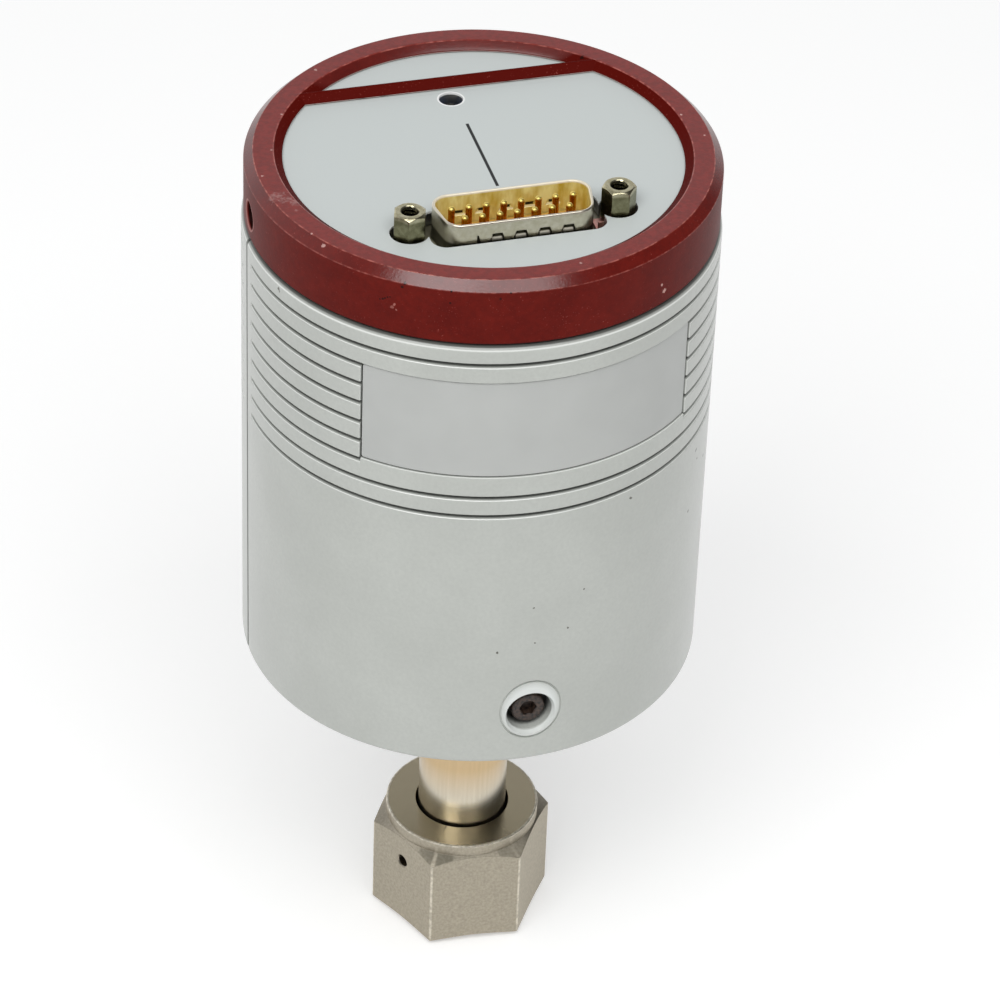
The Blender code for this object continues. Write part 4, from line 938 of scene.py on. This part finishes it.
def makeCap():
    skin = newSkin()
    top, radius = cap["top"], cap["radius"]
    wall = rounded([
        (cap["ringOuter"], top, 0.22), (radius, top - cap["chamfer"], 0.22), (radius, cap["bottom"], 0.45),
        (cap["inner"], cap["bottom"], 0.2), (cap["inner"], cap["lipBottom"], 0), (30, cap["lipBottom"], 0),
        (30, top, 0),
    ])[:-2]
    angles = [2 * math.pi * k / cap["steps"] for k in range(cap["steps"])]
    rings = [addLoop(skin, [around(a, r, z) for a in angles]) for r, z in wall]
    bridgeRun(skin, rings)
    bevel = [(-0.11, 0.0), (-0.04, 0.02), (0.03, 0.07), (0.10, 0.14), (0.35, 0.39), (0.65, 0.715),
             (0.93, 1.02), (0.985, 1.1), (1.0, 1.17), (1.0, top - cap["lipBottom"])]
    tops, bottoms = [], []
    for front in (True, False):
        loops = [addLoop(skin, windowLoop(share, top - fall, front)) for share, fall in bevel]
        bridgeRun(skin, loops)
        tops.append(loops[0])
        bottoms.append(loops[-1])
    fillFlat(skin, rings[0], *tops)
    fillFlat(skin, rings[-1], *bottoms)
    piece = makePiece("capRing", skin)
    hole, reach = cap["holeRadius"], radius + 1
    drill = turned("capDrill", [
        (0, -reach), (hole + 0.35, -reach), (hole + 0.3, -radius - 0.02), (hole + 0.12, -radius + 0.12),
        (hole, -radius + 0.4), (hole, radius - 0.4), (hole + 0.12, radius - 0.12),
        (hole + 0.3, radius + 0.02), (hole + 0.35, reach), (0, reach),
    ], 64)
    across = Matrix.Rotation(math.pi / 2, 4, "Y")
    across.translation = (0, 0, cap["holeHeight"])
    carve(piece, place(drill, across))
    return finishPiece(piece, capPlastic, ["cap"], sharpDeg=30)


makeCap()
print("cap made")


overlay = {  # with the opening for the plug and the zero hole
    "radius": 34.6, "bottom": 153.45, "top": 153.85, "openHalfX": 14.0, "openHalfY": 5.2, "openCorner": 2.5,
    "lobeRadius": 3.1, "lobeX": 16.66, "plugY": -18.0, "zeroX": -0.6, "zeroY": 17.95, "zeroRadius": 1.95,
}


def openingOutline():
    halfX, halfY, lobe = overlay["openHalfX"], overlay["openHalfY"], overlay["lobeRadius"]
    inset = overlay["lobeX"] - halfX
    swing = math.pi - math.acos(inset / lobe)
    right = []
    for k in range(9):
        a = -math.pi / 2 + math.pi / 2 * k / 8
        right.append((halfX - overlay["openCorner"] * (1 - math.cos(a)),
                      -halfY + overlay["openCorner"] * (1 + math.sin(a))))
    for k in range(29):
        a = -swing + 2 * swing * k / 28
        right.append((overlay["lobeX"] + lobe * math.cos(a), lobe * math.sin(a)))
    right += [(x, -y) for x, y in right[8::-1]]
    whole = right + [(-x, -y) for x, y in right]
    return [(x, y + overlay["plugY"]) for x, y in whole]


def makeOverlay():
    skin = newSkin()
    outlines = [polygonPoints(overlay["radius"], 200), openingOutline(),
                polygonPoints(overlay["zeroRadius"], 48, 0, overlay["zeroX"], overlay["zeroY"])]
    low = [flatLoop(skin, outline, overlay["bottom"]) for outline in outlines]
    high = [flatLoop(skin, outline, overlay["top"]) for outline in outlines]
    for bottom, top in zip(low, high):
        bridge(skin, bottom, top)
    fillFlat(skin, *low)
    fillFlat(skin, *high)
    piece = softenEdges(makePiece("overlayFilm", skin), 0.06)
    return finishPiece(piece, film, ["top_overlay"])


makeOverlay()
print("overlay made")


plug = {  # drawn shell, insulator, contacts and screw posts
    "y": -18.0, "halfLength": 12.6, "halfWidth": 4.15, "corner": 2.4, "sideDeg": 10.0, "wall": 0.5,
    "rim": 157.05, "flangeTop": 151.15, "flangeBottom": 150.35, "flangeHalfX": 19.57, "flangeHalfY": 6.275,
    "flangeCorner": 1.5, "postX": 16.66, "dimplePitch": 3.77, "dimpleLow": 153.2, "dimpleHigh": 155.0,
    "backDimpleHigh": 154.1, "dimpleDepth": 0.4, "dimpleFoot": 1.35, "dimpleTop": 0.85, "dimpleX": -0.17,
}


def dOutline(grow, sideSteps=230, endSteps=12, arcSteps=10):
    # the plug's D form, wide side at the back, grown outwards; same number of points at each size
    lean = math.radians(plug["sideDeg"])
    halfWidth = plug["halfWidth"] + grow
    back = plug["halfLength"] + grow * (math.tan(lean) + 1 / math.cos(lean))
    front = back - 2 * halfWidth * math.tan(lean)
    radius = plug["corner"] + grow
    corners = [(-front, -halfWidth, radius), (front, -halfWidth, radius),
               (back, halfWidth, radius), (-back, halfWidth, radius)]
    arcs = rounded(corners, arcSteps)
    groups = [arcs[i * (arcSteps + 1):(i + 1) * (arcSteps + 1)] for i in range(4)]
    outline = []
    for i, group in enumerate(groups):
        outline += group
        here, there = Vector(group[-1]), Vector(groups[(i + 1) % 4][0])
        spans = sideSteps if i % 2 == 0 else endSteps
        outline += [tuple(here.lerp(there, k / spans)) for k in range(1, spans)]
    return outline


def dimple(x, z, high):
    if not plug["dimpleLow"] - 0.4 < z < high:
        return 0.0
    climb = (z - plug["dimpleLow"]) / (high - plug["dimpleLow"])
    half = plug["dimpleFoot"] + (plug["dimpleTop"] - plug["dimpleFoot"]) * max(climb, 0)
    off = min(abs(x - plug["dimpleX"] - k * plug["dimplePitch"]) for k in range(-2, 3))
    side = min(max((half - off) / 0.42, 0.0), 1.0)
    roof = min((high - z) / 0.4, 1.0)
    foot = min(max((climb + 0.15) / 0.7, 0.0), 1.0)
    share = min(side, roof)
    return plug["dimpleDepth"] * share * share * (3 - 2 * share) * (0.35 + 0.65 * foot) * (foot > 0)


def shroudLoop(grow, z, dented=True):
    loop = []
    for x, y in dOutline(grow):
        onLongSide = abs(abs(y) - plug["halfWidth"] - grow) < 1e-6
        high = plug["dimpleHigh"] if y < 0 else plug["backDimpleHigh"]
        dent = dimple(x, z, high) if onLongSide and dented else 0.0
        if y > 0:
            dent *= 0.7
        loop.append((x, plug["y"] + y + dent, z))
    return loop


def makePlugShell():
    skin = newSkin()
    rim, low, base, wall = plug["rim"], plug["flangeBottom"], plug["flangeTop"], plug["wall"]
    halfX, halfY, corner = plug["flangeHalfX"], plug["flangeHalfY"], plug["flangeCorner"]
    flange = rounded([(-halfX, -halfY, corner), (halfX, -halfY, corner), (halfX, halfY, corner),
                      (-halfX, halfY, corner)], 6)
    flange = [(x, y + plug["y"]) for x, y in flange]
    inset = [(x * 0.996, plug["y"] + (y - plug["y"]) * 0.99) for x, y in flange]
    edge = [flatLoop(skin, outline, z)
            for outline, z in ((inset, low), (flange, low + 0.07), (flange, base - 0.07), (inset, base))]
    bridgeRun(skin, edge)
    dense = [152.85 + 0.08 * k for k in range(28)]
    path = [(wall + 0.4, base), (wall + 0.18, base + 0.06), (wall + 0.05, base + 0.2), (wall, base + 0.42)]
    path += [(wall, z) for z in [152.25] + dense + [155.8, 156.45]]
    half = wall / 2
    path += [(half + half * math.cos(a), rim - half + half * math.sin(a))
             for a in [math.pi * k / 8 for k in range(9)]]
    path += [(0, z) for z in [156.45, 155.8] + dense[::-1] + [152.25, 151.45, low]]
    loops = [addLoop(skin, shroudLoop(grow, z)) for grow, z in path]
    bridgeRun(skin, loops)
    holes = [[], []]
    for sign in (-1, 1):
        for k, z in enumerate((low, base)):
            holes[k].append(flatLoop(skin, polygonPoints(1.55, 32, 0, sign * plug["postX"], plug["y"]), z))
        bridge(skin, holes[0][-1], holes[1][-1])
    fillFlat(skin, edge[0], loops[-1], *holes[0])
    fillFlat(skin, edge[-1], loops[0], *holes[1])
    return finishPiece(makePiece("plugShell", skin), nickel, ["connector_shell"])


pinSpots = [((k - 3.5) * 2.77, plug["y"] + 1.42) for k in range(8)]
pinSpots += [((k - 3) * 2.77, plug["y"] - 1.42) for k in range(7)]


def makeInsulator():
    skin = newSkin()
    face, low = 151.75, 140.85
    outline = [(x, y + plug["y"]) for x, y in dOutline(-0.3, 6, 4, 8)]
    holes = [polygonPoints(0.66, 24, 0, x, y) for x, y in pinSpots]
    ends = [[flatLoop(skin, loop, z) for loop in [outline] + holes] for z in (low, face)]
    for bottom, top in zip(*ends):
        bridge(skin, bottom, top)
    fillFlat(skin, *ends[0])
    fillFlat(skin, *ends[1])
    piece = softenEdges(makePiece("plugInsulator", skin), 0.08)
    return finishPiece(piece, insulatorPlastic, ["connector_insulator"])


def makePins():
    radius, tip, top, bottom = 0.53, 0.45, 156.7, 138.45
    arc = [math.pi / 2 * k / 6 for k in range(7)]
    nose = [(radius * math.cos(a), top - tip + tip * math.sin(a)) for a in arc]
    outline = [(0, bottom), (radius - 0.08, bottom), (radius, bottom + 0.1)] + nose
    for number, (x, y) in enumerate(pinSpots, 1):
        pin = place(turned(f"pin{number:02d}", outline, 28), Matrix.Translation((x, y, 0)))
        finishPiece(pin, gold, [f"contact_pin_{number:02d}"], sharpDeg=40)


def hexReach(deg, flats, firstDeg, soft):
    # from the axis to a hexagon whose corners are rounded by this radius
    swing = (deg - firstDeg) % 60 - 30
    inner = flats / 2 - soft
    limit = math.atan(inner * math.tan(math.pi / 6) / (flats / 2))
    if abs(math.radians(swing)) <= limit:
        return flats / 2 / math.cos(math.radians(swing))
    centre = inner / math.cos(math.pi / 6)
    off = math.radians(30 - abs(swing))
    return centre * math.cos(off) + math.sqrt(soft ** 2 - (centre * math.sin(off)) ** 2)


def hexDegs(firstDeg, stepDeg, nearDegs):
    degs = [firstDeg + k * stepDeg for k in range(round(360 / stepDeg))]
    for k in range(6):
        degs += [firstDeg + 60 * k + side * reach for reach in nearDegs for side in (-1, 1)]
    return stations([(deg - firstDeg) % 360 + firstDeg for deg in degs], 0.02)


def threadDepth(deg, z, pitch, depth):
    turn = (z / pitch - deg / 360) % 1.0
    return depth * min(max((abs(turn - 0.5) * 2 - 0.1) / 0.8, 0.0), 1.0)


def makePost(name, node, x, seat, turnDeg):
    flats, top, crown, corner = 4.76, 157.9, 2.2, 4.76 / 2 / math.cos(math.pi / 6)
    drop, pitch, hole = 0.42, 0.7, 1.15
    columns = []
    for deg in hexDegs(turnDeg, 5.0, (0.6, 1.3, 2.0, 3.0)):
        reach = hexReach(deg, flats, turnDeg, 0.16)
        shoulder = top - drop * (reach - crown) / (corner - crown)
        threads = [(hole + threadDepth(deg, z, pitch, 0.18), z) for z in
                   [top - 0.35 - k * pitch / 6 for k in range(36)]]
        outline = rounded([
            (1.4, seat - 1.6, 0), (1.4, seat, 0), (reach - 0.05, seat, 0), (reach, seat + 0.1, 0),
            (reach, shoulder, 0.07), (crown, top, 0.1), (1.5, top, 0.05), (1.3, top - 0.25, 0),
        ])
        outline += threads + [(0, top - 4.7), (0, seat - 1.6)]
        columns.append([around(math.radians(deg), r, z) for r, z in outline])
    piece = place(sweepColumns(name, columns), Matrix.Translation((x, plug["y"], 0)))
    return finishPiece(piece, postNickel, [node], sharpDeg=38)


makePlugShell()
makeInsulator()
makePins()
makePost("postLeft", "jackpost_left", -plug["postX"], 151.45, 13.5)
makePost("postRight", "jackpost_right", plug["postX"], 152.15, -9.5)
print("plug made")


nut = {  # six flats, a collar, an inner thread and two leak holes
    "flats": 27.0, "height": 21.7, "cornerDeg": -124.0, "collar": 13.2, "shoulder": 19.6, "drop": 1.5,
    "bore": 8.05, "thread": 10.4, "threadTop": 14.0, "threadPitch": 1.8, "threadDepth": 0.55,
    "leakRadius": 1.1, "leakHeight": 14.3,
}


def makeNut():
    corner = nut["flats"] / 2 / math.cos(math.pi / 6)
    columns = []
    for deg in hexDegs(nut["cornerDeg"], 2.0, (0.25, 0.5, 0.75, 1.0)):
        reach = hexReach(deg, nut["flats"], nut["cornerDeg"], 0.4)
        edge = nut["shoulder"] - nut["drop"] * (reach - nut["collar"]) / (corner - nut["collar"])
        outline = rounded([
            (reach, 0, 0.25), (reach, edge, 0.16), (nut["collar"], nut["shoulder"], 0.12),
            (nut["collar"], nut["height"], 0.28), (nut["bore"], nut["height"], 0.15),
            (nut["bore"], nut["threadTop"] + 0.6, 0), (nut["bore"] + 0.6, nut["threadTop"] + 0.6, 0),
        ])
        count = int((nut["threadTop"] - 1.2) / nut["threadPitch"] * 8)
        for k in range(count + 1):
            z = nut["threadTop"] - 0.4 - (nut["threadTop"] - 1.2) * k / count
            outline.append((nut["thread"] + threadDepth(deg, z, nut["threadPitch"], nut["threadDepth"]), z))
        outline.append((nut["thread"] + 0.75, 0))
        columns.append([around(math.radians(deg), r, z) for r, z in outline])
    piece = sweepColumns("couplingNut", columns)
    reach, radius, flat = nut["flats"], nut["leakRadius"], nut["flats"] / 2
    drill = turned("leakDrill", [
        (0, -reach), (radius + 0.2, -reach), (radius + 0.2, -flat), (radius, -flat + 0.2),
        (radius, flat - 0.2), (radius + 0.2, flat), (radius + 0.2, reach), (0, reach),
    ], 48)
    facing = Matrix.Rotation(math.radians(nut["cornerDeg"] - 30), 4, "Z")
    across = facing @ Matrix.Rotation(math.pi / 2, 4, "Y")
    across.translation = (0, 0, nut["leakHeight"])
    carve(piece, place(drill, across))
    return finishPiece(piece, nutSteel, ["coupling_nut"], "nut", 35)


def makeTube():
    # the tube stands in the gland, which has the seal bead under the nut
    outer, bore, low = 7.6, 5.95, 15.5
    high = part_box("inlet_tube")[1].z / mm
    outline = rounded([(bore, low, 0), (outer, low, 0), (outer, high, 0.2), (bore, high, 0.2)])
    finishPiece(turned("inletTube", outline, 128), tubeSteel, ["inlet_tube"])
    gland = rounded([
        (bore, 0.45, 0.1), (7.2, 0.45, 0.15), (7.6, 0, 0.18), (8.2, 0, 0.18), (8.6, 0.45, 0.15),
        (10.1, 0.45, 0.4), (10.1, 5.0, 0.4), (outer + 0.3, 5.3, 0.3), (outer, 6.0, 0.3), (outer, low, 0),
        (bore, low, 0),
    ])
    finishPiece(turned("sealGland", gland, 128), tubeSteel, ["sealing_gland"])


makeNut()
makeTube()
print("nut, gland and tube made")


def socketScrew(name, node, outline, socketRadius, socketDepth, matrix):
    piece = turned(name, outline, 72)
    top = max(z for r, z in outline)
    socket = prism("socket", polygonPoints(socketRadius, 6), top - socketDepth, top + 1)
    carve(piece, socket)
    inner, outer = socketRadius * 0.86, socketRadius * 1.02
    mouth = [(0, top - 0.18), (inner, top - 0.18), (outer, top + 0.02), (outer, top + 0.5), (0, top + 0.5)]
    carve(piece, turned("mouth", mouth, 48))
    place(piece, matrix)
    return finishPiece(piece, blackOxide, [node], sharpDeg=35)


def makeScrews():
    for side, sign in (("front", -1), ("rear", 1)):
        node = side + "_shell_screw"
        low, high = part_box(node)
        headTop = max(abs(low.y), abs(high.y)) / mm
        tail = min(abs(low.y), abs(high.y)) / mm
        outline = rounded([
            (0, tail - headTop, 0), (1.5, tail - headTop, 0.2), (1.5, -3.0, 0), (2.8, -3.0, 0.15),
            (2.8, 0, 0.4), (0, 0, 0),
        ])
        matrix = Matrix.Rotation(-sign * math.pi / 2, 4, "X")
        matrix.translation = (0, sign * headTop, shells["screwHeight"])
        socketScrew(side + "Screw", node, outline, 1.45, 1.6, matrix)
    for side, sign in (("left", -1), ("right", 1)):
        node = "cap_screw_" + side
        low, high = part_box(node)
        end = max(abs(low.x), abs(high.x)) / mm
        length = (high.x - low.x) / mm
        outline = rounded([(0, -length, 0), (1.9, -length, 0.4), (1.9, 0, 0.3), (0, 0, 0)])
        matrix = Matrix.Rotation(sign * math.pi / 2, 4, "Y")
        matrix.translation = (sign * end, 0, cap["holeHeight"])
        socketScrew(side + "Grub", node, outline, 1.0, 1.5, matrix)


makeScrews()
print("screws made")


finishes = {  # inner pieces keep their solids and get their real finishes
    "top_plate": aluminium, "base_plate": aluminium, "heater_can": aluminium, "heater_lid": aluminium,
    "sensor_base": sensorSteel, "sensor_diaphragm": sensorSteel, "sensor_cover": sensorSteel,
    "electrode_spring": sensorSteel, "electrode_disc": ceramic, "reference_tube": tarnishedCopper,
    "feedthrough_pin_1": gold,
    "feedthrough_pin_2": gold, "ground_lug": tarnishedCopper, "heater_band": heaterFilm,
    "insulation_pad": foam, "insulation_sleeve": foam, "main_board": boardGreen, "sensor_board": boardGreen,
    "zero_trimmer_body": trimmerBlue, "zero_trimmer_screw": darkSteel,
}
for number in range(1, 5):
    finishes[f"lower_standoff_{number}"] = brass
    finishes[f"upper_standoff_{number}"] = brass
for nodeName, finish in finishes.items():
    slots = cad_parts[nodeName].data.materials
    slots.clear()
    slots.append(finish)
print("inner pieces finished")
